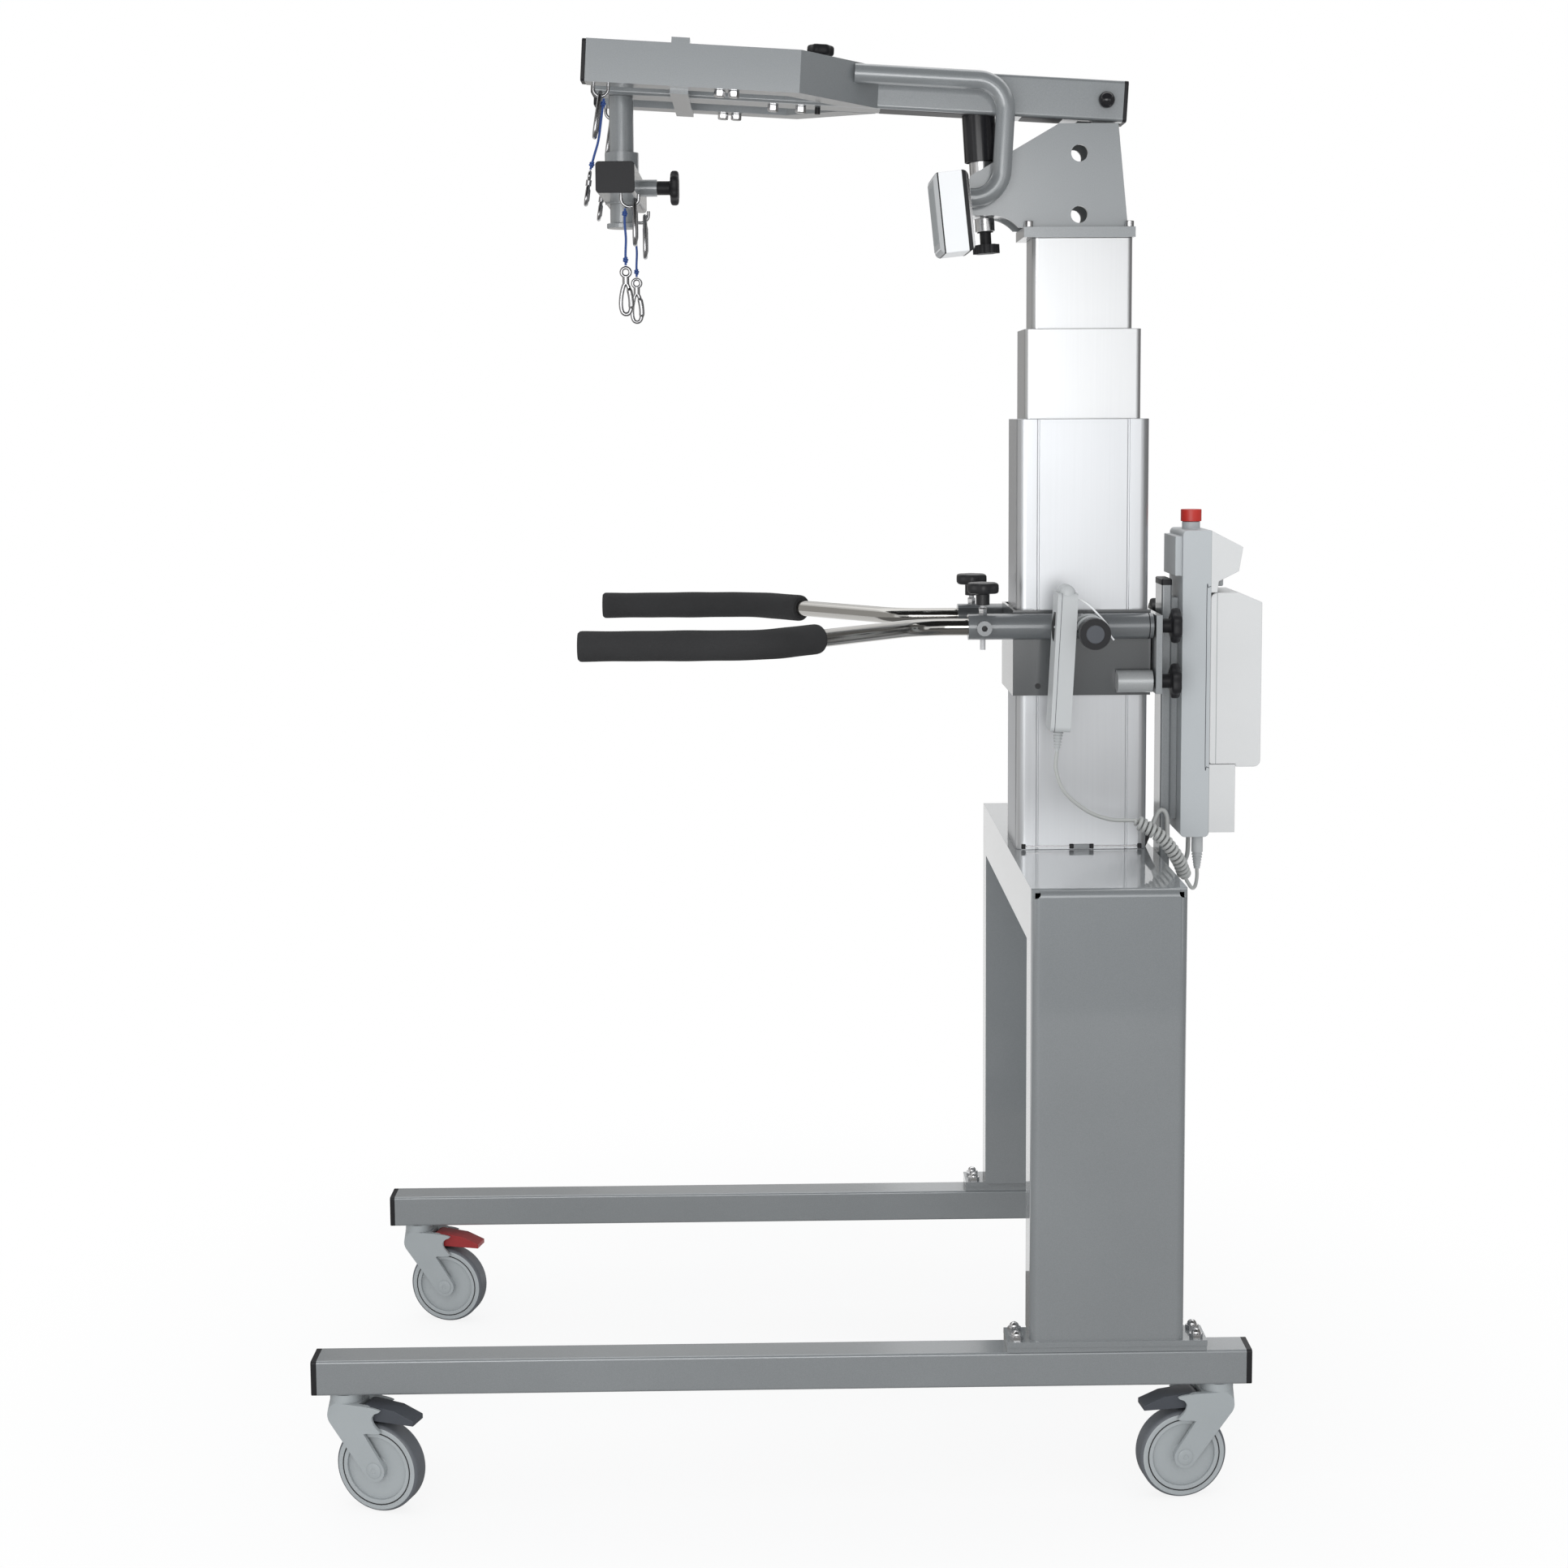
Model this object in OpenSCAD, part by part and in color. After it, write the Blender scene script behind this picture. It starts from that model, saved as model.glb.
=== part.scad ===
// Body weight support system: a wheeled frame with a lifting column, a sprung
// boom that carries a harness spreader, and a pair of padded handrails.
// Millimetres. +X points to the rear (column side), +Y to the far side, +Z up.
// The origin lies on the floor below the middle of the whole object.

/* [Base] */
// Distance between the centre lines of the two legs
track = 680; // [640:10:800]
// Length of a leg with its end caps
leg_len = 1314; // [1240:10:1400]
// Outside width and height of the square leg tube
leg_size = 50; // [46:1:54]
// Wall of the leg tube
leg_wall = 3; // [2:0.5:4]
// Height of the legs' underside above the floor
castor_h = 165; // [163:1:180]
// Diameter of a castor wheel
wheel_d = 125; // [115:1:127]
// Width of a castor wheel
wheel_w = 31; // [26:1:33]
// Distance of a wheel's axle from its swivel axis
castor_trail = 52; // [46:1:56]
// Distance of the swivel axes from the ends of the legs
castor_inset = 45; // [40:1:70]

/* [Portal] */
// Length of the portal along the legs
portal_len = 216; // [210:1:230]
// Depth of each upright across the object
upright_depth = 60; // [54:1:70]
// Height of the portal's top above the floor
portal_top = 871; // [841:5:911]
// Depth of the cross beam from its top to the walkway
beam_depth = 80; // [70:1:100]
// Thickness of the folded sheet
sheet = 3; // [2:0.5:4]
// Length of a foot plate along its leg
foot_len = 280; // [270:1:300]

/* [Column] */
// Length of the outer column tube's section along X
outer_len = 196; // [194:1:200]
// Width of the outer column tube's section along Y
outer_w = 136; // [134:1:138]
// Wall of the three column tubes
column_wall = 6; // [5:0.5:6]
// Free space between one tube and the next
stage_gap = 6; // [5:0.5:7]
// Height of the outer tube
outer_h = 642; // [620:2:660]
// Height of the middle tube that shows
middle_show = 132; // [128:1:150]
// Height of the inner tube that shows
inner_show = 133; // [128:1:150]

/* [Boom] */
// Outside width and height of the boom tube
boom_size = 60; // [56:1:62]
// Reach of the boom forward of the column's centre
boom_reach = 720; // [690:5:750]
// Angle by which the unloaded boom rises towards its front
boom_tilt = 3.3; // [2:0.1:4]
// Outside half width of the yoke
yoke_half = 146; // [140:1:155]
// Width of a yoke bar across the object
yoke_bar_w = 40; // [36:1:42]
// Length of the spreader bar
spreader_len = 320; // [300:2:360]
// Diameter of the post that the spreader slides on
post_d = 36; // [32:1:38]

/* [Handrails] */
// Height of the handrails' axis above the floor
rail_z = 1209; // [1189:5:1249]
// Diameter of the chrome handlebar
bar_d = 25; // [22:0.5:26]
// Diameter of the foam grip
grip_d = 42; // [36:1:46]
// Distance of the grips from the middle of the object
grip_half = 345; // [300:5:370]
// Distance of the sockets from the middle of the object
socket_half = 95; // [94:1:98]
// Front end of the grips, measured from the column's centre
grip_reach = 725; // [690:5:750]

/* [Control] */
// Height of the control box
box_h = 461; // [440:1:470]
// Width of the control box
box_w = 116; // [100:1:120]
// Length of the hand control
handset_len = 200; // [190:1:210]

/* [Hidden] */
$fn = 48;

// Colours of the finishes
grey_coat = "#8a8f91";
silver = "#c9cbcc";
chrome = "#dcdcdc";
black = "#232325";
pale_plastic = "#b9bcbb";
white_plastic = "#e6e6e2";
signal_red = "#c23a36";
cord_blue = "#2f55a4";

// Clearances: a cut's overrun, a shaft in its hole, parts that only pass each other
overrun = 1;
run_fit = 0.05;
free_gap = 0.4;

// Legs and their caps
leg_x0 = -690;
leg_x1 = leg_x0 + leg_len;
leg_top = castor_h + leg_size;
leg_r = 4;
cap_t = 8;
cap_plug = 12;
front_castor_x = leg_x0 + castor_inset;
rear_castor_x = leg_x1 - castor_inset;
stem_d = 12;
stem_socket_d = 24;

// Portal, its feet and its nuts
column_x = 420;
pad_t = 8;
foot_t = 8;
foot_over = 5;
foot_w = leg_size + foot_over;
foot_z = leg_top + pad_t;
portal_z0 = foot_z + foot_t;
portal_half = track / 2 + leg_size / 2;
portal_bend = 12;
relief_d = 13;
nut_shift = 2;
nut_dx = portal_len / 4 + foot_len / 4 + nut_shift;
nut_dy = 16;
nut_across = 19;
nut_h = 6;
dome_d = 14;

// Column tubes
column_r = 14;
middle_len = outer_len - 2 * (column_wall + stage_gap);
middle_w = outer_w - 2 * (column_wall + stage_gap);
inner_len = middle_len - 2 * (column_wall + stage_gap);
inner_w = middle_w - 2 * (column_wall + stage_gap);
outer_top = portal_top + outer_h;
middle_top = outer_top + middle_show;
head_z = middle_top + inner_show;
middle_h = 560;
inner_h = 520;
collar_h = 10;
glide_h = 24;
groove_w = 3;
groove_deep = 1.5;
groove_dx_share = 0.34;
screw_d = 22;
screw_below = 42;
screw_top = outer_top - screw_below;
motor_h = 74;
nut_plate_t = 20;
motor_len = 130;
motor_w = 90;

// Head bracket, measured from the column's centre and the inner tube's top
base_t = 15;
base_len = 164;
base_w = 112;
base_dx = -6;
bracket_half = 40;
bracket_t = 6;
bracket_low_front = -82;
bracket_low_rear = 67;
bracket_top = 166;
bracket_top_front = -35;
bracket_top_rear = 52;
wing_tip = -166;
wing_low = 33;
wing_high = 90;
wing_web_t = 10;
throat_r = 52;
lug_t = 20;
lug_r = 19;
mount_hole_d = 24.6;
mount_hole_dx = -5;
mount_hole_zs = [34, 123];
bolt_head_d = 13;
bolt_head_h = 9;
bolt_edge = 8;

// Boom and yoke, in a frame at the pivot that rises towards the front
pivot_dx = 35;
pivot_up = 200;
pivot_x = column_x + pivot_dx;
pivot_z = head_z + pivot_up;
boom_wall = 3;
boom_r = 5;
boom_tail = 32;
boom_front = boom_reach + pivot_dx;
boom_cap_t = 6;
pivot_pin_d = 16;
pin_ball_d = 24;
yoke_front = boom_front + boom_cap_t;
yoke_angle = 45;
yoke_mitre = 451;
yoke_wall = 3;
strap_w = 26;
strap_t = 8;
strap_x = 622;
tie_bolt_xs = [564, 544];
tie_bolt_d = 11;
tie_bolt_h = 9;
under_bolt_xs = [488, 447];
knob_x = 422;
post_x = 713;
arm_d = 28;
arm_bend = 42;
arm_y = 64;
arm_z = 14;
arm_start = 372;
arm_turn = 150;
arm_low = 155;
arm_end = 203;

// Display
display_t = 50;
display_h = 114;
display_w = 112;
display_r = 9;
display_tilt = 6;
display_inner = 48;
display_below = 30;

// Strut between the head's wing and the boom
strut_dx = -150;
strut_lean = 3.5;
strut_top = 180;
barrel_d = 49;
barrel_bore = 46;
barrel_h = 66;
strut_rod_d = 36;
strut_rod_top = 152;
strut_foot_d = 29;
strut_foot_h = 20;
strut_thread_d = 12;
strut_thread_h = 24;

// Hanging post, spreader and harness hooks
post_world_x = pivot_x - post_x;
post_up = 26;
post_low = head_z + post_up;
post_collar_d = 46;
post_collar_h = 7;
sleeve_d = 50;
sleeve_up = 54;
sleeve_z0 = head_z + sleeve_up;
sleeve_h = 75;
spreader_size = 55;
spreader_h = 44;
spreader_up = 78;
spreader_z = head_z + spreader_up;
spreader_wall = 3;
spreader_cap_t = 5;
boss_d = 25;
boss_len = 24;
hook_wire = 5;
thin_wire = 4;
blue_d = 3.5;

// Star knobs
knob_lobes = 6;
knob_lobe_share = 0.3;
knob_hub_share = 0.42;
knob_disc_share = 0.33;
stud_d = 8;

// Handrail carriage
socket_d = 38;
socket_x0 = 247;
socket_x1 = 519;
plate_t = 4;
carriage_below = 104;
carriage_above = 23;
carriage_z0 = rail_z - carriage_below;
carriage_z1 = rail_z + carriage_above;
carriage_front = 7;
glide_gap = 0.3;
stub_d = 33;
stub_len = 52;
stub_below = 82;
stub_z = rail_z - stub_below;
back_plate_t = 9;
back_plate_gap = 4;
back_plate_half = 115;
back_plate_h = 116;
socket_plug = 39;
clamp_stud_d = 10;
clamp_knob_d = 52;
clamp_knob_h = 29;
handle_knob_d = 50;
handle_knob_h = 46;
handle_knob_in = 22;
handle_knob_x = socket_x0 + handle_knob_in;
handle_stud_low = 34;
side_boss_d = 22;
side_boss_h = 12;
side_hole_d = 8.5;
hanger_x = 417;
hanger_end = 225;
hanger_ring_d = 44;
hanger_ring_l = 14;
bar_rear = 445;
bar_bend = 90;
bar_turn_x = 174;
bar_out_x = -53;
bar_wall = 2;
bar_rings = 10;
bar_sides = 24;
bar_front = column_x - grip_reach;
grip_end_t = 4;
grip_on_slope = 115;
slot_travel_out = 85;
slot_travel_in = 20;
far_bar_out = 15;
plate_hole_d = 7;
plate_hole_dx = -68;
plate_hole_up = 14;

// Hand control and its cord
handset_t = 29;
handset_w = 55;
handset_x = 377;
handset_y = 168;
handset_lean = 3;
handset_r = 8;
handset_drop = 44;
hook_ring_wire = 4;
hook_sweep = 172;
relief_len = 31;
relief_top_d = 13;
rocker_len = 40;
rocker_w = 18;
rocker_t = 5;
rocker_pin_d = 3;
cord_d = 5;
cord_sides = 8;
lead_route = [
    [370, -168, 1034], [369, -168, 1006], [382, -167, 974], [414, -162, 946],
    [448, -156, 932], [482, -151, 929]];
coil_axis = [[487, -150, 929], [524, -154, 905], [550, -148, 872], [566, -128, 839]];
tail_route = [
    [569, -122, 833], [580, -101, 818], [590, -75, 815], [597, -52, 824], [599, -40, 838]];
motor_route = [
    [530, -46, 903], [538, -46, 922], [546, -46, 926], [552, -46, 915], [553, -46, 885], [560, -42, 852],
    [576, -25, 836], [590, -5, 848], [593, 2, 870], [593, 3, 889]];
motor_cord_d = 7;
gland_d = 15;
gland_tip_d = 9;
gland_len = 24;
gland_lean = 32;
gland_foot = [518, -46, 885];
coil_curls = 17;
coil_d = 21;
curl_rings = 8;
curl_sides = 6;
plug_x = 599;
plug_y = 40;
plug_z0 = 835;
plug_d = 17;
plug_boot_d = 9;

// Control rail and box
rail_t = 15;
rail_w = 60;
rail_x0 = 544;
rail_below = 66;
rail_low = portal_top - rail_below;
rail_cap_t = 6;
spacer_w = 40;
spacer_h = 16;
spacer_drops = [58, 22];
strip_t = 11;
strip_w = 44;
strip_inset = 22;
box_x0 = rail_x0 + rail_t + strip_t;
box_z0 = 886;
box_back_t = 43;
hood_reach = 47;
hood_h = 76;
hood_tip_drop = 25;
hood_lip_drop = 61;
hood_lip_in = 6;
recess_t = 10;
recess_h = 17;
flange_t = 10;
flange_w = 100;
flange_h = 66;
flange_drop = 2;
flange_room = 12;
rail_high = box_z0 + box_h - flange_drop - flange_h - flange_room;
box_low_reach = 39;
box_low_h = 110;
box_r = 7;
battery_x1 = 690;
battery_lap = 4;
battery_z0 = box_z0 + box_low_h - battery_lap;
battery_z1 = box_z0 + box_h - hood_h - recess_h;
battery_slope_len = 34;
battery_slope_h = 15;
battery_side = 2;
battery_r = 10;
estop_x = 592;
estop_d = 31;
estop_collar_d = 27;
estop_collar_h = 11;
estop_h = 18;
estop_travel = 4;

// Castors: swivel yaw at rest, in degrees from +X
yaw_near_front = -19;
yaw_far_front = -14;
yaw_near_rear = 188;
yaw_far_rear = 161;
cheek_t = 5;
cheek_gap = 2;
axle_d = 12;
axle_eye_r = 16;
fork_collar_d = 46;
fork_collar_h = 12;
hood_front_r = 19;
hood_back = 27;
hood_low_gap = 5;
tyre_r = 6;
hub_dish = 5;
hub_r_share = 0.72;
hub_boss_r = 15;
pedal_len = 61;
pedal_w = 30;
pedal_root = 22;
pedal_tip = 7;
pedal_pin_d = 8;
pedal_drop = 4;
pedal_crest_share = 0.6;

// Vectors, routes and swept tubes
steep = 0.9;
function unit(v) = v / norm(v);
function tangents(p) =
    [for (i = [0:len(p) - 1]) unit(p[min(i + 1, len(p) - 1)] - p[max(i - 1, 0)])];
function side_of(t) = unit(cross(t, abs(t[2]) < steep ? [0, 0, 1] : [1, 0, 0]));
function squared(n, t) = unit(n - (n * t) * t);
function carried(t) =
    [for (i = 0, n = side_of(t[0]); i < len(t);
          i = i + 1, n = squared(n, t[min(i, len(t) - 1)])) n];
// Point of a smooth curve through the listed points, at a fractional index
function curve_at(p, u) =
    let (last = len(p) - 1, i = min(floor(u), last - 1), f = u - i,
         a = p[max(i - 1, 0)], b = p[i], c = p[i + 1], d = p[min(i + 2, last)])
    0.5 * (2 * b + (c - a) * f + (2 * a - 5 * b + 4 * c - d) * f * f
           + (3 * b - a - 3 * c + d) * f * f * f);
function smooth_route(p, steps) =
    [for (k = [0:steps * (len(p) - 1)]) curve_at(p, k / steps)];

// Points along a line of corners, each rounded to one radius in equal steps
function bent_line(p, bend, steps) =
    let (last = len(p) - 1)
    concat([p[0]],
        [for (i = [1:last - 1])
            let (before = unit(p[i] - p[i - 1]), after = unit(p[i + 1] - p[i]),
                 turn = acos(before * after), inward = squared(after, before),
                 centre = p[i] - before * bend * tan(turn / 2) + inward * bend)
            for (k = [0:steps])
                centre + bend * (sin(turn * k / steps) * before - cos(turn * k / steps) * inward)],
        [p[last]]);

module swept(p, d, sides) {
    t = tangents(p);
    n = carried(t);
    last = len(p) - 1;
    rings = [for (i = [0:last], k = [0:sides - 1])
        p[i] + d / 2 * (cos(360 * k / sides) * n[i] + sin(360 * k / sides) * cross(t[i], n[i]))];
    walls = [for (i = [0:last - 1], k = [0:sides - 1])
        let (a = i * sides + k, b = i * sides + (k + 1) % sides)
        each [[a, a + sides, b], [b, a + sides, b + sides]]];
    start = [for (k = [1:sides - 2]) [0, k, k + 1]];
    end = [for (k = [1:sides - 2]) [last * sides, last * sides + k + 1, last * sides + k]];
    polyhedron(points = rings, faces = concat(walls, start, end));
}

// Centre line of a curly cord: turns about a smooth axis, with straight ends on that axis
function curly(axis, turns, turn_r, lead_in) =
    let (total = turns * curl_rings, span = len(axis) - 1, step = span / total,
         turned = [for (k = [0:total])
            let (u = k * step,
                 along = unit(curve_at(axis, min(u + step, span)) - curve_at(axis, max(u - step, 0))),
                 out = unit(cross(along, [0, 1, 0])),
                 grow = min(1, k / curl_rings, (total - k) / curl_rings),
                 turn = 360 * k / curl_rings)
            curve_at(axis, u) + turn_r * grow * (cos(turn) * out + sin(turn) * cross(along, out))],
         first = unit(axis[1] - axis[0]),
         final = unit(axis[span] - axis[span - 1]))
    concat([axis[0] - lead_in * first], turned, [axis[span] + lead_in * final]);
// Least free distance between parts of a curly cord that lie half a turn or more apart
function self_gap(p, d) =
    min([for (i = [0:len(p) - 1], j = [i + curl_rings - 2:len(p) - 1])
        if (j < len(p)) norm(p[i] - p[j])]) - d;

// Section of a round bar, or of a tube where it has a bore
module round_section(d, bore) {
    difference() {
        circle(d = d);
        if (bore > 0)
            circle(d = bore);
    }
}

// Straight round bar or tube between two points
module rod(a, b, d, bore) {
    v = b - a;
    translate(a)
        rotate([0, acos(v[2] / norm(v)), atan2(v[1], v[0])])
            linear_extrude(norm(v))
                round_section(d, bore);
}

// Round bar or tube along a line of points, with every corner bent to one radius
module bent_bar(p, bend, d, bore = 0) {
    last = len(p) - 1;
    dir = [for (i = [0:last - 1]) unit(p[i + 1] - p[i])];
    turn = [for (i = [0:last]) i == 0 || i == last ? 0 : acos(dir[i - 1] * dir[i])];
    for (i = [0:last - 1])
        rod(p[i] + dir[i] * bend * tan(turn[i] / 2),
            p[i + 1] - dir[i] * bend * tan(turn[i + 1] / 2), d, bore);
    for (i = [1:1:last - 1]) {
        inward = squared(dir[i], dir[i - 1]);
        centre = p[i] - dir[i - 1] * bend * tan(turn[i] / 2) + inward * bend;
        x = -inward;
        y = dir[i - 1];
        z = cross(x, y);
        multmatrix([[x[0], y[0], z[0], centre[0]], [x[1], y[1], z[1], centre[1]],
                    [x[2], y[2], z[2], centre[2]], [0, 0, 0, 1]])
            rotate_extrude(angle = turn[i])
                translate([bend, 0])
                    round_section(d, bore);
    }
}

module rounded_rect(w, h, r) {
    square([w - 2 * r, h], center = true);
    square([w, h - 2 * r], center = true);
    for (sx = [-1, 1], sy = [-1, 1])
        translate([sx * (w / 2 - r), sy * (h / 2 - r)])
            circle(r);
}

module tube_section(w, h, r, wall) {
    difference() {
        rounded_rect(w, h, r);
        rounded_rect(w - 2 * wall, h - 2 * wall, max(r - wall, wall / 2));
    }
}

// Stands an extrusion of a YZ section along +X
module along_x(x0, length) {
    translate([x0, 0, 0])
        rotate([90, 0, 90])
            linear_extrude(length)
                children();
}

// Stands an extrusion of an XZ section along Y, centred on the middle plane
module across(width) {
    rotate([90, 0, 0])
        linear_extrude(width, center = true)
            children();
}

// Star knob on +Z, its face at z = height, with a stud below it
module star_knob(d, h, stud, stud_len) {
    disc_h = d * knob_disc_share;
    lobe = d * knob_lobe_share / 2;
    cylinder(d = d * knob_hub_share, h = h - disc_h + overrun);
    translate([0, 0, h - disc_h]) {
        cylinder(d = d - lobe, h = disc_h);
        for (k = [0:knob_lobes - 1])
            rotate([0, 0, 360 * k / knob_lobes])
                translate([d / 2 - lobe, 0, 0])
                    cylinder(r = lobe, h = disc_h);
    }
    translate([0, 0, -stud_len])
        cylinder(d = stud, h = stud_len + overrun);
}

// Oblong wire link that hangs down from z = 0, in the XZ plane
module link(length, width, wire) {
    r = width / 2 - wire / 2;
    low = length - width / 2;
    for (s = [-1, 1])
        translate([s * r, 0, -low])
            cylinder(d = wire, h = low - width / 2);
    translate([0, 0, -width / 2])
        rotate([90, 0, 0])
            rotate_extrude(angle = 180)
                translate([r, 0])
                    circle(d = wire);
    translate([0, 0, -low])
        rotate([-90, 0, 0])
            rotate_extrude(angle = 180)
                translate([r, 0])
                    circle(d = wire);
}

// Places children in the boom's frame: origin at the pivot, +X along the boom to the rear
module boom_frame() {
    translate([pivot_x, 0, pivot_z])
        rotate([0, boom_tilt, 0])
            children();
}

// Places children in the strut's frame: +Z up the strut, origin level with the wing's underside
module strut_frame() {
    translate([column_x + strut_dx, 0, head_z + strut_top])
        rotate([0, -strut_lean, 0])
            translate([0, 0, wing_low - strut_top])
                children();
}

// Base
module leg_tube() {
    difference() {
        union() {
            translate([0, 0, castor_h + leg_size / 2])
                along_x(leg_x0 + cap_t, leg_len - 2 * cap_t)
                    tube_section(leg_size, leg_size, leg_r, leg_wall);
            for (x = [front_castor_x, rear_castor_x])
                translate([x, 0, castor_h])
                    cylinder(d = stem_socket_d, h = leg_size - leg_wall / 2);
            translate([column_x - foot_len / 2, -leg_size / 2, leg_top])
                cube([foot_len, leg_size, pad_t]);
        }
        for (x = [front_castor_x, rear_castor_x])
            translate([x, 0, castor_h - overrun])
                cylinder(d = stem_d + 2 * run_fit, h = leg_size - leg_wall);
    }
}

module base_legs() {
    color(grey_coat)
        for (s = [-1, 1])
            translate([0, s * track / 2, 0])
                leg_tube();
}

module leg_cap() {
    inside = leg_size - 2 * leg_wall - 2 * run_fit;
    along_x(0, cap_t)
        rounded_rect(leg_size, leg_size, leg_r);
    along_x(cap_t, cap_plug)
        rounded_rect(inside, inside, leg_r / 2);
}

module leg_end_caps() {
    color(black)
        for (s = [-1, 1])
            translate([0, s * track / 2, castor_h + leg_size / 2]) {
                translate([leg_x0, 0, 0])
                    leg_cap();
                translate([leg_x1, 0, 0])
                    mirror([1, 0, 0])
                        leg_cap();
            }
}

module portal_outline(inset) {
    high = portal_top - inset;
    half = portal_half - inset;
    bend = max(portal_bend - inset, inset);
    difference() {
        union() {
            translate([-half, portal_z0])
                square([2 * half, high - portal_z0 - bend]);
            translate([bend - half, high - bend])
                square([2 * (half - bend), bend]);
            for (s = [-1, 1])
                translate([s * (half - bend), high - bend])
                    circle(bend);
        }
        translate([upright_depth - inset - half - inset, portal_z0 - overrun])
            square([2 * (half - upright_depth + 2 * inset),
                    high - portal_z0 - beam_depth + 2 * inset + overrun]);
    }
}

module portal_shell(inset) {
    intersection() {
        along_x(column_x - portal_len / 2 + inset, portal_len - 2 * inset)
            portal_outline(inset);
        translate([column_x, 0, portal_z0 - overrun])
            linear_extrude(portal_top)
                rounded_rect(portal_len - 2 * inset, 2 * (portal_half - inset),
                             max(portal_bend - inset, inset));
    }
}

module portal_frame() {
    color(grey_coat) {
        difference() {
            portal_shell(0);
            portal_shell(sheet);
            for (sx = [-1, 1], sy = [-1, 1])
                translate([column_x + sx * (portal_len / 2 - portal_bend / 2), sy * portal_half,
                           portal_top - portal_bend / 2])
                    rotate([90, 0, 0])
                        cylinder(d = relief_d, h = 4 * sheet, center = true);
        }
        for (s = [-1, 1])
            translate([column_x - foot_len / 2, s * track / 2 - foot_w / 2, foot_z])
                cube([foot_len, foot_w, foot_t]);
    }
}

module dome_nut() {
    cylinder(d = nut_across, h = nut_h, $fn = 6);
    translate([0, 0, nut_h])
        intersection() {
            sphere(d = dome_d);
            cylinder(d = dome_d, h = dome_d);
        }
}

module portal_nuts() {
    color(silver)
        for (s = [-1, 1], sx = [-1, 1], sy = [-1, 1])
            translate([column_x + sx * nut_dx, s * track / 2 + sy * nut_dy, portal_z0])
                dome_nut();
}

// Lifting column
module stage_tube(length, width, height, r) {
    linear_extrude(height)
        tube_section(length, width, r, column_wall);
}

// Ring that fills the gap between a tube's wall and the next tube, with a sliding gap
module stage_collar(length, width, height) {
    linear_extrude(height)
        difference() {
            rounded_rect(length - column_wall, width - column_wall, column_r - column_wall / 2);
            rounded_rect(length - 2 * (column_wall + stage_gap - glide_gap),
                         width - 2 * (column_wall + stage_gap - glide_gap), column_r - column_wall);
        }
}

// Ring outside a tube that runs on the inside of the next larger tube
module stage_glide(length, width) {
    linear_extrude(glide_h)
        difference() {
            rounded_rect(length + 2 * (stage_gap - glide_gap), width + 2 * (stage_gap - glide_gap),
                         column_r - column_wall);
            rounded_rect(length - column_wall, width - column_wall, column_r - column_wall);
        }
}

module column_outer() {
    color(silver)
        translate([column_x, 0, 0]) {
            difference() {
                translate([0, 0, portal_top])
                    stage_tube(outer_len, outer_w, outer_h, column_r);
                for (sx = [-1, 1], sy = [-1, 1])
                    translate([sx * outer_len * groove_dx_share, sy * outer_w / 2, portal_top + outer_h / 2])
                        cube([groove_w, 2 * groove_deep, outer_h + 2 * overrun], center = true);
            }
            translate([0, 0, outer_top - collar_h])
                stage_collar(outer_len, outer_w, collar_h);
        }
}

module column_middle() {
    z0 = middle_top - middle_h;
    color(silver)
        translate([column_x, 0, 0]) {
            translate([0, 0, z0])
                stage_tube(middle_len, middle_w, middle_h, column_r - column_wall);
            translate([0, 0, z0])
                stage_glide(middle_len, middle_w);
            translate([0, 0, middle_top - collar_h])
                stage_collar(middle_len, middle_w, collar_h);
            difference() {
                translate([0, 0, z0])
                    linear_extrude(nut_plate_t)
                        rounded_rect(middle_len - column_wall, middle_w - column_wall,
                                     column_r - column_wall);
                translate([0, 0, z0 - overrun])
                    cylinder(d = screw_d + 2 * run_fit, h = nut_plate_t + 2 * overrun);
            }
        }
}

module column_inner() {
    color(silver)
        translate([column_x, 0, head_z - inner_h]) {
            stage_tube(inner_len, inner_w, inner_h, column_r - column_wall);
            stage_glide(inner_len, inner_w);
        }
}

// Motor and screw inside the column, with the gland where the motor's lead comes out
module lift_drive() {
    color(black) {
        translate([column_x - motor_len / 2, -motor_w / 2, portal_top])
            cube([motor_len, motor_w, motor_h]);
        translate([column_x, 0, portal_top + motor_h - overrun])
            cylinder(d = screw_d, h = screw_top - portal_top - motor_h + overrun);
        difference() {
            translate(gland_foot)
                rotate([0, gland_lean, 0])
                    translate([0, 0, -gland_len])
                        cylinder(d1 = 2 * gland_d - gland_tip_d, d2 = gland_tip_d, h = 2 * gland_len);
            translate([column_rear - outer_len, -outer_w, 0])
                cube([outer_len, 2 * outer_w, outer_top]);
            translate([0, -outer_w, 0])
                cube([outer_top, 2 * outer_w, portal_top + free_gap]);
        }
    }
}

// Head
module bracket_outline() {
    throat_x = bracket_low_front - throat_r;
    difference() {
        polygon([
            [bracket_low_front - throat_r, base_t], [bracket_low_rear, base_t],
            [bracket_top_rear, bracket_top], [bracket_top_front, bracket_top],
            [wing_tip, wing_high], [wing_tip, wing_low], [bracket_low_front - throat_r, wing_low]]);
        translate([throat_x, wing_low - throat_r])
            circle(throat_r);
        translate([throat_x - throat_r, base_t - overrun])
            square([throat_r, wing_low - base_t + overrun]);
    }
}

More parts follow.
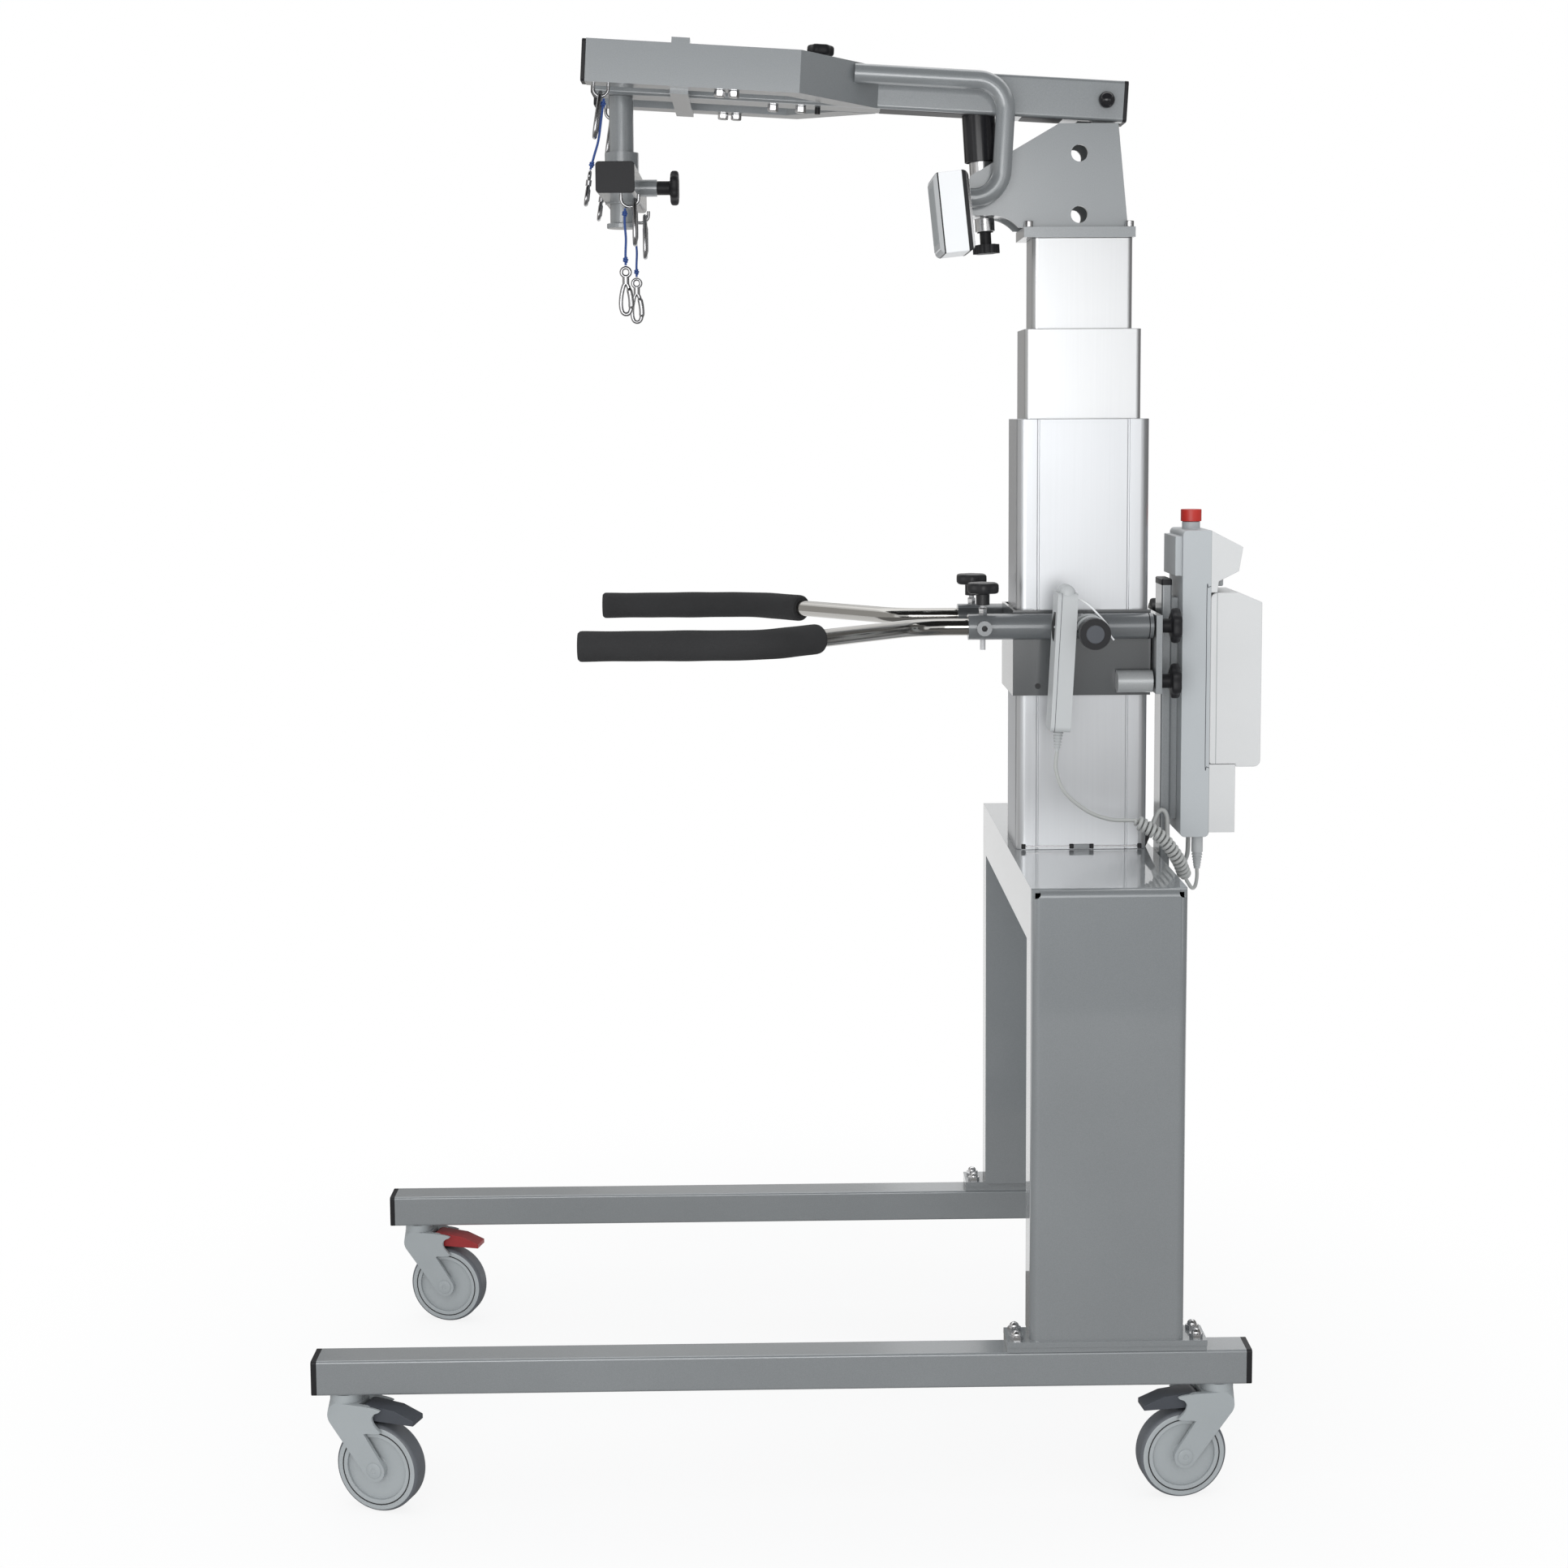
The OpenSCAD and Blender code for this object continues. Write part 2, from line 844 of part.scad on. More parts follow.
module head_bracket() {
    inner_half = bracket_half - bracket_t;
    color(grey_coat)
        difference() {
            translate([column_x, 0, head_z]) {
                translate([base_dx - base_len / 2, -base_w / 2, 0])
                    cube([base_len, base_w, base_t]);
                for (s = [-1, 1])
                    translate([0, s * (bracket_half - bracket_t / 2), 0])
                        across(bracket_t)
                            bracket_outline();
                across(2 * inner_half + overrun) {
                    polygon([
                        [bracket_low_rear - bracket_t, base_t], [bracket_low_rear, base_t],
                        [bracket_top_rear, bracket_top], [bracket_top_rear - bracket_t, bracket_top]]);
                    translate([bracket_top_front, bracket_top - bracket_t])
                        square([bracket_top_rear - bracket_top_front, bracket_t]);
                    translate([wing_tip, wing_low])
                        square([bracket_low_front - wing_tip, wing_web_t]);
                }
                across(lug_t) {
                    translate([pivot_x - column_x, pivot_z - head_z])
                        circle(lug_r);
                    translate([pivot_x - column_x - lug_r, bracket_top - bracket_t])
                        square([2 * lug_r - (bracket_t - overrun),
                                pivot_z - head_z - bracket_top + bracket_t]);
                }
            }
            translate([pivot_x, 0, pivot_z])
                rotate([90, 0, 0])
                    cylinder(d = pivot_pin_d + 2 * run_fit, h = 2 * lug_t, center = true);
            for (z = mount_hole_zs)
                translate([column_x + mount_hole_dx, 0, head_z + z])
                    rotate([90, 0, 0])
                        cylinder(d = mount_hole_d, h = 2 * bracket_half + 2 * overrun, center = true);
            strut_frame()
                translate([0, 0, -wing_web_t])
                    cylinder(d = strut_thread_d + 2 * free_gap, h = 4 * wing_web_t);
        }
}

module head_bolts() {
    color(silver)
        for (sx = [-1, 1], sy = [-1, 1])
            translate([column_x + base_dx + sx * (base_len / 2 - bolt_edge), sy * (base_w / 2 - bolt_edge),
                       head_z + base_t])
                cylinder(d = bolt_head_d, h = bolt_head_h);
}

// Plunger that stands on the wing inside the barrel, with its threaded foot below the wing
module strut_rod() {
    web_lean = strut_rod_d * sin(strut_lean) / 2;
    color(silver)
        strut_frame() {
            translate([0, 0, wing_web_t + web_lean + free_gap])
                cylinder(d = strut_rod_d, h = strut_rod_top - wing_low - wing_web_t);
            translate([0, 0, -strut_foot_h - strut_thread_h - web_lean])
                cylinder(d = strut_thread_d, h = strut_foot_h + strut_thread_h + 2 * wing_web_t);
            translate([0, 0, -strut_foot_h - web_lean])
                cylinder(d = strut_foot_d, h = strut_foot_h - free_gap);
        }
}

strut_knob_d = 40;
strut_knob_h = 32;

module strut_knob() {
    web_lean = strut_rod_d * sin(strut_lean) / 2;
    color(black)
        strut_frame()
            translate([0, 0, -strut_foot_h - web_lean - free_gap])
                mirror([0, 0, 1])
                    difference() {
                        star_knob(strut_knob_d, strut_knob_h, 2 * strut_thread_d, 0);
                        translate([0, 0, -overrun])
                            cylinder(d = strut_thread_d + 2 * run_fit, h = strut_thread_h + 2 * overrun);
                    }
}

// Boom
module boom() {
    color(grey_coat)
        boom_frame()
            difference() {
                along_x(boom_cap_t - boom_front, boom_front + boom_tail - 2 * boom_cap_t)
                    tube_section(boom_size, boom_size, boom_r, boom_wall);
                translate([-2 * lug_r, -lug_t / 2 - boom_wall / 2, -boom_size])
                    cube([4 * lug_r, lug_t + boom_wall, boom_size]);
                rotate([90, 0, 0])
                    cylinder(d = pivot_pin_d + 2 * run_fit, h = 2 * boom_size, center = true);
                translate([-knob_x, 0, 0])
                    cylinder(d = stud_d + 2 * run_fit, h = 2 * boom_size, center = true);
            }
}

module boom_cap() {
    inside = boom_size - 2 * boom_wall - 2 * run_fit;
    along_x(0, boom_cap_t)
        rounded_rect(boom_size, boom_size, boom_r);
    along_x(boom_cap_t, boom_cap_t)
        rounded_rect(inside, inside, boom_r / 2);
}

module boom_caps() {
    bar_y = yoke_half - yoke_bar_w / 2;
    color(black)
        boom_frame() {
            translate([-boom_front, 0, 0])
                boom_cap();
            translate([boom_tail, 0, 0])
                mirror([1, 0, 0])
                    boom_cap();
            for (s = [-1, 1])
                translate([-yoke_front, s * bar_y, 0])
                    along_x(0, boom_cap_t)
                        rounded_rect(yoke_bar_w, boom_size, boom_r);
        }
}

module boom_pivot_pin() {
    half = boom_size / 2 + free_gap;
    color(black)
        boom_frame()
            rotate([90, 0, 0]) {
                translate([0, 0, -half])
                    cylinder(d = pivot_pin_d, h = 2 * half);
                translate([0, 0, half])
                    intersection() {
                        translate([0, 0, pin_ball_d / 4])
                            sphere(d = pin_ball_d);
                        cylinder(d = pin_ball_d, h = pin_ball_d);
                    }
                translate([0, 0, -half - pin_ball_d / 4])
                    cylinder(d = pin_ball_d, h = pin_ball_d / 4);
            }
}

boom_knob_d = 40;
boom_knob_h = 26;
boom_stud_below = 10;

module boom_knob() {
    color(black)
        boom_frame()
            translate([-knob_x, 0, boom_size / 2 + free_gap])
                star_knob(boom_knob_d, boom_knob_h, stud_d, boom_size + boom_stud_below);
}

// Plan outline of a yoke side: a straight bar, then a diagonal to the boom's side face
function yoke_plan(wall) =
    let (out = yoke_half - wall, in = yoke_half - yoke_bar_w + wall,
         half_turn = tan(yoke_angle / 2), side = boom_size / 2,
         x0 = boom_cap_t - yoke_front, out_x = wall * half_turn - yoke_mitre,
         in_x = -yoke_mitre - (yoke_bar_w - wall) * half_turn)
    [[x0, -out], [out_x, -out], [out_x + out - side, -side],
     [in_x + in - side, -side], [in_x, -in], [x0, -in]];

module yoke_side() {
    difference() {
        translate([0, 0, -boom_size / 2])
            linear_extrude(boom_size)
                polygon(yoke_plan(0));
        translate([-overrun, 0, yoke_wall - boom_size / 2])
            linear_extrude(boom_size - 2 * yoke_wall)
                polygon(yoke_plan(yoke_wall));
    }
}

module display_arm() {
    start = [-arm_start, -arm_y, arm_z];
    turn = [-arm_turn, -arm_y, arm_z];
    low = [-arm_turn, -arm_y, -arm_low];
    bent_bar([start, turn, low, [-arm_end, -arm_y, -arm_low]], arm_bend, arm_d);
}

module yoke() {
    bar_y = yoke_half - yoke_bar_w / 2;
    color(grey_coat)
        boom_frame() {
            yoke_side();
            mirror([0, 1, 0])
                yoke_side();
            for (s = [-1, 1])
                translate([-strap_x - strap_w / 2, s > 0 ? -yoke_half : -bar_y,
                           s > 0 ? boom_size / 2 : -boom_size / 2 - strap_t])
                    cube([strap_w, s > 0 ? 2 * yoke_half : 2 * bar_y, strap_t]);
            for (s = [-1, 1], x = tie_bolt_xs)
                translate([-x, s * bar_y, -boom_size / 2 - tie_bolt_h])
                    cylinder(d = tie_bolt_d, h = tie_bolt_h);
            display_arm();
        }
}

module display_box() {
    color(white_plastic)
        boom_frame()
            translate([-arm_end - display_t / 2, -display_inner - display_w / 2, -arm_low])
                difference() {
                    rotate([0, -display_tilt - boom_tilt, 0])
                        translate([0, 0, -display_below])
                            rotate([90, 0, 0])
                                linear_extrude(display_w, center = true)
                                    rounded_rect(display_t, display_h, display_r);
                    translate([display_t / 2, -display_w, -arm_d / 2])
                        cube([display_h, 2 * display_w, arm_d]);
                }
}

module strut_barrel() {
    color(black)
        difference() {
            strut_frame()
                translate([0, 0, strut_top - wing_low - barrel_h])
                    difference() {
                        cylinder(d = barrel_d, h = barrel_h + boom_wall);
                        translate([0, 0, -overrun])
                            cylinder(d = barrel_bore, h = barrel_h - 2 * boom_wall);
                    }
            boom_frame()
                translate([-boom_front, -boom_size, -boom_size / 2])
                    cube([boom_front, 2 * boom_size, boom_size]);
        }
}

module hanging_post() {
    color(grey_coat)
        difference() {
            translate([post_world_x, 0, post_low]) {
                cylinder(d = post_d, h = pivot_z + boom_size - post_low);
                translate([0, 0, -post_collar_h])
                    cylinder(d = post_collar_d, h = post_collar_h + run_fit);
            }
            boom_frame()
                translate([-boom_front, -boom_size, -boom_size / 2])
                    cube([boom_front, 2 * boom_size, 3 * boom_size]);
        }
}

// Spreader
module spreader_bar() {
    inner = spreader_size - 2 * spreader_wall;
    color(grey_coat)
        translate([post_world_x, 0, 0])
            difference() {
                union() {
                    translate([0, 0, sleeve_z0])
                        cylinder(d = sleeve_d, h = sleeve_h);
                    translate([0, 0, spreader_z])
                        rotate([90, 0, 0])
                            linear_extrude(spreader_len, center = true)
                                tube_section(spreader_size, spreader_h, boom_r, spreader_wall);
                    translate([inner / 2, 0, spreader_z])
                        rotate([0, 90, 0])
                            cylinder(d = boss_d, h = boss_len + spreader_wall);
                }
                translate([0, 0, sleeve_z0 - overrun])
                    cylinder(d = post_d + 2 * run_fit, h = sleeve_h + 2 * overrun);
                translate([0, 0, spreader_z])
                    rotate([0, 90, 0])
                        cylinder(d = stud_d + 2 * run_fit, h = spreader_size + boss_len);
            }
}

module spreader_caps() {
    color(black)
        for (s = [-1, 1])
            translate([post_world_x, s * (spreader_len + spreader_cap_t) / 2, spreader_z])
                rotate([90, 0, 0])
                    linear_extrude(spreader_cap_t, center = true)
                        rounded_rect(spreader_size, spreader_h, boom_r);
}

spreader_knob_d = 51;
spreader_knob_h = 32;

module spreader_knob() {
    seat = spreader_size / 2 + boss_len + free_gap;
    color(black)
        translate([post_world_x + seat, 0, spreader_z])
            rotate([0, 90, 0])
                star_knob(spreader_knob_d, spreader_knob_h, stud_d, seat - post_d / 2 - free_gap);
}

// Harness hooks: a U-bolt or shackle, a carabiner, a short cord and a second hook on each side
yoke_hook_x = -278;
yoke_hook_lean = 5;
carabiner_len = 68;
carabiner_w = 24;
ubolt_w = 26;
ubolt_drop = 20;
small_hook_len = 52;
small_hook_w = 20;
yoke_cord_len = 44;
snap_len = 72;
snap_w = 21;
spreader_cord_len = 80;
shackle_w = 30;
shackle_drop = 20;
shackle_dx = 19;
shackle_inset = 22;
hang_half = 7;

module yoke_chain_frame(s) {
    bar_y = yoke_half - yoke_bar_w / 2;
    boom_frame()
        translate([yoke_hook_x - pivot_x, s * bar_y, -boom_size / 2 - ubolt_drop + 2 * hook_wire + free_gap])
            rotate([0, yoke_hook_lean, 0])
                children();
}

// Half link whose straight ends meet the face above it
module staple(width, drop, wire) {
    r = width / 2 - wire / 2;
    for (s = [-1, 1])
        translate([s * r, 0, -drop + width / 2])
            cylinder(d = wire, h = drop - width / 2);
    translate([0, 0, -drop + width / 2])
        rotate([-90, 0, 0])
            rotate_extrude(angle = 180)
                translate([r, 0])
                    circle(d = wire);
}

module yoke_hooks() {
    bar_y = yoke_half - yoke_bar_w / 2;
    color(silver)
        for (s = [-1, 1]) {
            boom_frame()
                translate([yoke_hook_x - pivot_x, s * bar_y, -boom_size / 2])
                    staple(ubolt_w, ubolt_drop, hook_wire);
            yoke_chain_frame(s) {
                rotate([0, 0, 90])
                    link(carabiner_len, carabiner_w, hook_wire);
                translate([0, 0, -carabiner_len - yoke_cord_len])
                    rotate([0, 0, 90])
                        link(small_hook_len, small_hook_w, thin_wire);
            }
        }
}

module yoke_cords() {
    start = 2 * hook_wire + free_gap / 2;
    side = hook_wire + overrun;
    foot = carabiner_len + yoke_cord_len - free_gap;
    color(cord_blue)
        for (s = [-1, 1])
            yoke_chain_frame(s)
                swept(smooth_route([
                    [side, 0, -start], [side, 0, -carabiner_len / 2],
                    [side, 0, -carabiner_len], [side / 2, 0, -carabiner_len - yoke_cord_len / 2],
                    [0, 0, -foot]], 3), blue_d, cord_sides);
}

module spreader_chain_frame(s) {
    translate([post_world_x + shackle_dx, s * (spreader_len / 2 - shackle_inset),
               spreader_z - spreader_h / 2])
        children();
}

module spreader_hooks() {
    hang = 2 * hook_wire + free_gap - shackle_drop;
    color(silver)
        for (s = [-1, 1])
            spreader_chain_frame(s) {
                staple(shackle_w, shackle_drop, hook_wire);
                translate([hang_half, 0, hang + hook_wire])
                    rotate([0, 0, 90])
                        link(carabiner_len, carabiner_w, hook_wire);
                translate([-hang_half, 0, -shackle_drop - spreader_cord_len])
                    link(snap_len, snap_w, hook_wire);
            }
}

module spreader_cords() {
    steps = 8;
    top = shackle_w / 2 - shackle_drop - sqrt(pow(shackle_w / 2, 2) - pow(hang_half, 2)) - 3 * free_gap;
    run = top + shackle_drop + spreader_cord_len - free_gap;
    color(cord_blue)
        for (s = [-1, 1])
            spreader_chain_frame(s)
                swept([for (k = [0:steps]) [-hang_half, 0, top - run * k / steps]],
                      blue_d, cord_sides);
}

// Handrail carriage
carriage_half = socket_half - socket_d / 2 + plate_t / 4;
carriage_x0 = column_x - outer_len / 2 - carriage_front;
column_rear = column_x + outer_len / 2;
back_plate_x = column_rear + back_plate_gap;

module socket_pair(half, z) {
    for (s = [-1, 1])
        translate([0, s * half, z])
            children();
}

module handrail_frame() {
    front_pad = carriage_front - plate_t - glide_gap;
    side_pad = carriage_half - outer_w / 2 - glide_gap;
    pad_len = outer_len / 4;
    depth = socket_x1 - carriage_x0;
    height = carriage_z1 - carriage_z0;
    color(grey_coat)
        difference() {
            union() {
                translate([carriage_x0, -carriage_half - plate_t, carriage_z0])
                    cube([plate_t, 2 * (carriage_half + plate_t), height]);
                for (s = [-1, 1])
                    translate([carriage_x0, s * (carriage_half + plate_t / 2) - plate_t / 2, carriage_z0])
                        cube([depth, plate_t, height]);
                translate([carriage_x0 + plate_t - run_fit, -outer_w / 4, carriage_z0])
                    cube([front_pad, outer_w / 2, height]);
                for (s = [-1, 1], x = [column_x - pad_len, column_x + pad_len])
                    translate([x - pad_len / 2, s * (carriage_half - side_pad / 2) - side_pad / 2,
                               carriage_z0])
                        cube([pad_len, side_pad, height]);
                socket_pair(socket_half, rail_z) {
                    along_x(socket_x0, socket_x1 - socket_x0)
                        circle(d = socket_d);
                }
                socket_pair(socket_half, stub_z)
                    along_x(socket_x1 - stub_len, stub_len)
                        circle(d = stub_d);
                for (s = [-1, 1])
                    translate([handle_knob_x, s * socket_half, rail_z])
                        rotate([-90 * s, 0, 0])
                            cylinder(d = side_boss_d, h = socket_d / 2 + side_boss_h);
                translate([hanger_x, -socket_half, rail_z])
                    rotate([90, 0, 0])
                        cylinder(d = socket_d, h = hanger_end - socket_half);
                translate([hanger_x, -hanger_end, rail_z])
                    rotate([90, 0, 0])
                        translate([0, 0, -hanger_ring_l])
                            cylinder(d = hanger_ring_d, h = hanger_ring_l);
            }
            socket_pair(socket_half, rail_z) {
                along_x(socket_x0 - overrun, socket_x1 - socket_x0 - socket_plug + overrun)
                    circle(d = bar_d + 2 * run_fit);
                along_x(socket_x1 - socket_plug - overrun, socket_plug + 2 * overrun)
                    circle(d = clamp_stud_d + 2 * run_fit);
                translate([handle_knob_x, 0, -socket_d])
                    cylinder(d = stud_d + 2 * run_fit, h = 2 * socket_d);
            }
            socket_pair(socket_half, stub_z)
                along_x(socket_x1 - stub_len + plate_t, stub_len)
                    circle(d = clamp_stud_d + 2 * run_fit);
            for (s = [-1, 1])
                translate([handle_knob_x, s * socket_half, rail_z])
                    rotate([-90 * s, 0, 0])
                        cylinder(d = side_hole_d, h = socket_d + side_boss_h);
            translate([column_x + plate_hole_dx, 0, carriage_z0 + plate_hole_up])
                rotate([90, 0, 0])
                    cylinder(d = plate_hole_d, h = 4 * carriage_half, center = true);
        }
}

module handrail_back_plate() {
    mid_z = (rail_z + stub_z) / 2;
    color(grey_coat)
        difference() {
            union() {
                translate([back_plate_x, -back_plate_half, mid_z - back_plate_h / 2])
                    cube([back_plate_t, 2 * back_plate_half, back_plate_h]);
                translate([column_rear + glide_gap, -outer_w / 4, mid_z - back_plate_h / 2])
                    cube([back_plate_gap - glide_gap + run_fit, outer_w / 2, back_plate_h]);
            }
            for (z = [rail_z, stub_z])
                socket_pair(socket_half, z)
                    along_x(back_plate_x - overrun, back_plate_t + 2 * overrun)
                        circle(d = clamp_stud_d + 2 * run_fit);
        }
}

module clamp_knob(s, z) {
    seat = back_plate_x + back_plate_t + free_gap;
    color(black)
        translate([seat, s * socket_half, z])
            rotate([0, 90, 0])
                star_knob(clamp_knob_d, clamp_knob_h, clamp_stud_d, seat - socket_x1 + socket_plug / 2);
}

module near_upper_clamp_knob() { clamp_knob(-1, rail_z); }
module far_upper_clamp_knob() { clamp_knob(1, rail_z); }
module near_lower_clamp_knob() { clamp_knob(-1, stub_z); }
module far_lower_clamp_knob() { clamp_knob(1, stub_z); }

module handle_knob(s) {
    color(black)
        translate([handle_knob_x, s * socket_half, rail_z + socket_d / 2 + free_gap])
            star_knob(handle_knob_d, handle_knob_h, stud_d, socket_d / 2 + handle_stud_low);
}

module near_handle_knob() { handle_knob(-1); }
module far_handle_knob() { handle_knob(1); }

// Centre line of the near handlebar, and the part of it that the foam covers
bar_path = [
    [bar_rear, -socket_half, rail_z], [bar_turn_x, -socket_half, rail_z],
    [bar_out_x, -grip_half, rail_z], [bar_front + grip_end_t, -grip_half, rail_z]];
grip_path = [
    bar_path[2] + unit(bar_path[1] - bar_path[2]) * grip_on_slope, bar_path[2], bar_path[3]];
slot_x0 = handle_knob_x - slot_travel_in - stud_d / 2 - free_gap;
slot_x1 = handle_knob_x + slot_travel_out + far_bar_out + stud_d / 2 + free_gap;

module near_handlebar() {
    tube_x0 = slot_x0 - bar_d;
    inside = [tube_x0 + bar_wall, -socket_half, rail_z];
    color(chrome) {
        swept(bent_line([inside, bar_path[1], bar_path[2], bar_path[3]], bar_bend, bar_rings),
              bar_d - 2 * run_fit, bar_sides);
        difference() {
            along_x(tube_x0, bar_rear - tube_x0)
                translate([-socket_half, rail_z])
                    circle(d = bar_d);
            along_x(slot_x0, bar_rear - slot_x0 + overrun)
                translate([-socket_half, rail_z])
                    circle(d = bar_d - 2 * bar_wall);
            translate([slot_x0, -socket_half - stud_d / 2 - free_gap, rail_z - bar_d])
                cube([slot_x1 - slot_x0, stud_d + 2 * free_gap, 2 * bar_d]);
        }
    }
}

module far_handlebar() {
    translate([-far_bar_out, 0, 0])
        mirror([0, 1, 0])
            near_handlebar();
}

module near_grip() {
    color(black) {
        bent_bar(grip_path, bar_bend, grip_d, bar_d + 2 * run_fit);
        along_x(bar_front, grip_end_t)
            translate([-grip_half, rail_z])
                circle(d = grip_d);
    }
}

module far_grip() {
    translate([-far_bar_out, 0, 0])
        mirror([0, 1, 0])
            near_grip();
}

// Hand control, hung on the hanger bar by its wire hook
handset_mid_z = rail_z - handset_drop;

module handset_frame() {
    translate([handset_x, -handset_y, handset_mid_z])
        rotate([0, handset_lean, 0])
            children();
}

module handset() {
    ring_r = socket_d / 2 + free_gap + hook_ring_wire / 2;
    color(pale_plastic) {
        handset_frame()
            difference() {
                union() {
                    rotate([0, 90, 0])
                        linear_extrude(handset_t, center = true)
                            rounded_rect(handset_len, handset_w, handset_r);
                    translate([0, 0, -handset_len / 2 - relief_len])
                        cylinder(d1 = cord_d + 2 * free_gap, d2 = relief_top_d, h = relief_len + overrun);
                }
                translate([-handset_t / 2 - overrun, -rocker_w / 2 - free_gap,
                           handset_len / 4 - rocker_len / 2 - overrun])
                    cube([rocker_t + 3 * overrun, rocker_w + 2 * free_gap, rocker_len + 2 * overrun]);
            }
        handset_frame()
            translate([-handset_t / 2, 0, handset_len / 4])
                rotate([90, 0, 0])
                    cylinder(d = rocker_pin_d, h = rocker_w + 2 * free_gap + 2 * overrun, center = true);
        for (s = [-1, 1])
            translate([hanger_x, s * handset_w / 4 - handset_y, rail_z])
                rotate([90, 0, 0])
                    rotate_extrude(angle = hook_sweep)
                        translate([ring_r, 0])
                            circle(d = hook_ring_wire);
    }
}

module handset_rocker() {
    color(black)
        handset_frame()
            translate([-handset_t / 2, 0, handset_len / 4])
                difference() {
                    intersection() {
                        cube([2 * rocker_t, rocker_w, rocker_len], center = true);
                        translate([rocker_len * 2 - rocker_t / 2, 0, 0])
                            rotate([90, 0, 0])
                                cylinder(r = rocker_len * 2, h = rocker_w, center = true);
                    }
                    rotate([90, 0, 0])
                        cylinder(d = rocker_pin_d + 2 * run_fit, h = 2 * rocker_w, center = true);
                }
}

module control_leads() {
    color(pale_plastic) {
        swept(smooth_route(lead_route, 4), cord_d, cord_sides);
        swept(smooth_route(tail_route, 3), cord_d, cord_sides);
        swept(smooth_route(motor_route, 2), motor_cord_d, cord_sides);
    }
}

coil_line = curly(coil_axis, coil_curls, (coil_d - cord_d) / 2, cord_d);
echo(coil_self_gap = self_gap(coil_line, cord_d));

module handset_coil() {
    color(pale_plastic)
        swept(coil_line, cord_d, curl_sides);
}

module handset_plug() {
    plug_h = box_z0 - plug_z0;
    color(pale_plastic)
        translate([plug_x, -plug_y, plug_z0]) {
            cylinder(d1 = plug_boot_d, d2 = plug_d - cord_d / 2, h = plug_h / 2);
            translate([0, 0, plug_h / 2])
                cylinder(d = plug_d, h = plug_h / 2);
        }
}

// Control rail, box, battery and stop button
module control_rail() {
    color(grey_coat) {
        translate([rail_x0 + rail_t / 2, 0, rail_low])
            linear_extrude(rail_high - rail_low)
                tube_section(rail_t, rail_w, sheet, sheet / 2);
        translate([rail_x0 + rail_t / 2, 0, rail_high])
            linear_extrude(rail_cap_t)
                rounded_rect(rail_t, rail_w, sheet);
        translate([rail_x0 + rail_t, -strip_w / 2, box_z0 + strip_inset])
            cube([strip_t, strip_w, rail_high - box_z0 - 2 * strip_inset]);
        for (z = spacer_drops)
            translate([column_x + portal_len / 2, -spacer_w / 2, portal_top - z - spacer_h / 2])
                cube([rail_x0 - column_x - portal_len / 2, spacer_w, spacer_h]);
    }
}

// Side outline: back body, hood with a sloping top, the wall of the recess under it, low front
module box_side() {
    translate([box_x0 + box_back_t / 2, box_z0 + box_h / 2])
        rounded_rect(box_back_t, box_h, box_r);
    translate([box_x0 + box_back_t, box_z0 + box_h])
        polygon([
            [-box_r, -overrun / 2], [-overrun, 0], [hood_reach, -hood_tip_drop],
            [hood_reach - hood_lip_in, -hood_lip_drop], [recess_t + overrun, -hood_h],
            [recess_t - overrun, -hood_h - recess_h + free_gap], [-box_r, -hood_h - recess_h + free_gap]]);
    translate([box_x0 + box_back_t - box_r, box_z0 + box_r])
        square([box_low_reach + box_r, box_low_h - box_r]);
}

module control_box() {
    color(pale_plastic)
        difference() {
            union() {
                across(box_w)
                    box_side();
                translate([box_x0 - flange_t, -flange_w / 2, box_z0 + box_h - flange_drop - flange_h])
                    cube([flange_t + box_r, flange_w, flange_h - box_r]);
                translate([estop_x, 0, box_z0 + box_h - overrun])
                    cylinder(d = estop_collar_d, h = estop_collar_h + overrun);
            }
            translate([estop_x, 0, box_z0 + box_h - estop_travel])
                cylinder(d = stud_d + 2 * run_fit, h = estop_collar_h + 2 * estop_travel);
        }
}

module battery_pack() {
    x0 = box_x0 + box_back_t;
    length = battery_x1 - x0;
    height = battery_z1 - battery_z0;
    color(white_plastic)
        across(box_w - 2 * battery_side)
            difference() {
                translate([x0 + length / 2, battery_z0 + height / 2])
                    rounded_rect(length, height, battery_r);
                translate([x0 - overrun, battery_z0 - overrun])
                    square([box_low_reach + free_gap + overrun,
                            box_z0 + box_low_h - battery_z0 + free_gap + overrun]);
                translate([battery_x1, battery_z1])
                    polygon([[-battery_slope_len, 0], [overrun, -battery_slope_h], [overrun, overrun],
                             [-battery_slope_len, overrun]]);
            }
}

// Red cap whose hollow skirt goes down round the collar, on a stem in the collar's bore
module estop_button() {
    skirt = estop_travel + 2 * free_gap;
    color(signal_red)
        translate([estop_x, 0, box_z0 + box_h + estop_collar_h]) {
            translate([0, 0, free_gap])
                difference() {
                    cylinder(d = estop_d, h = estop_h);
                    translate([0, 0, -overrun])
                        cylinder(d = estop_collar_d + 2 * free_gap, h = skirt + overrun);
                }
            translate([0, 0, -estop_collar_h])
                cylinder(d = stud_d, h = estop_collar_h + skirt + 2 * overrun);
        }
}

// Castors, drawn with the swivel axis on Z at the leg's underside and the wheel towards +X
axle_z = wheel_d / 2 - castor_h;
fork_half = wheel_w / 2 + cheek_gap + cheek_t;
pedal_pivot_x = hood_back + free_gap + pedal_root / 2;
pedal_pivot_z = -fork_collar_h - free_gap - pedal_root / 2;

module castor_frame(x, s, yaw) {
    translate([x, s * track / 2, castor_h])
        rotate([0, 0, yaw])
            children();
}

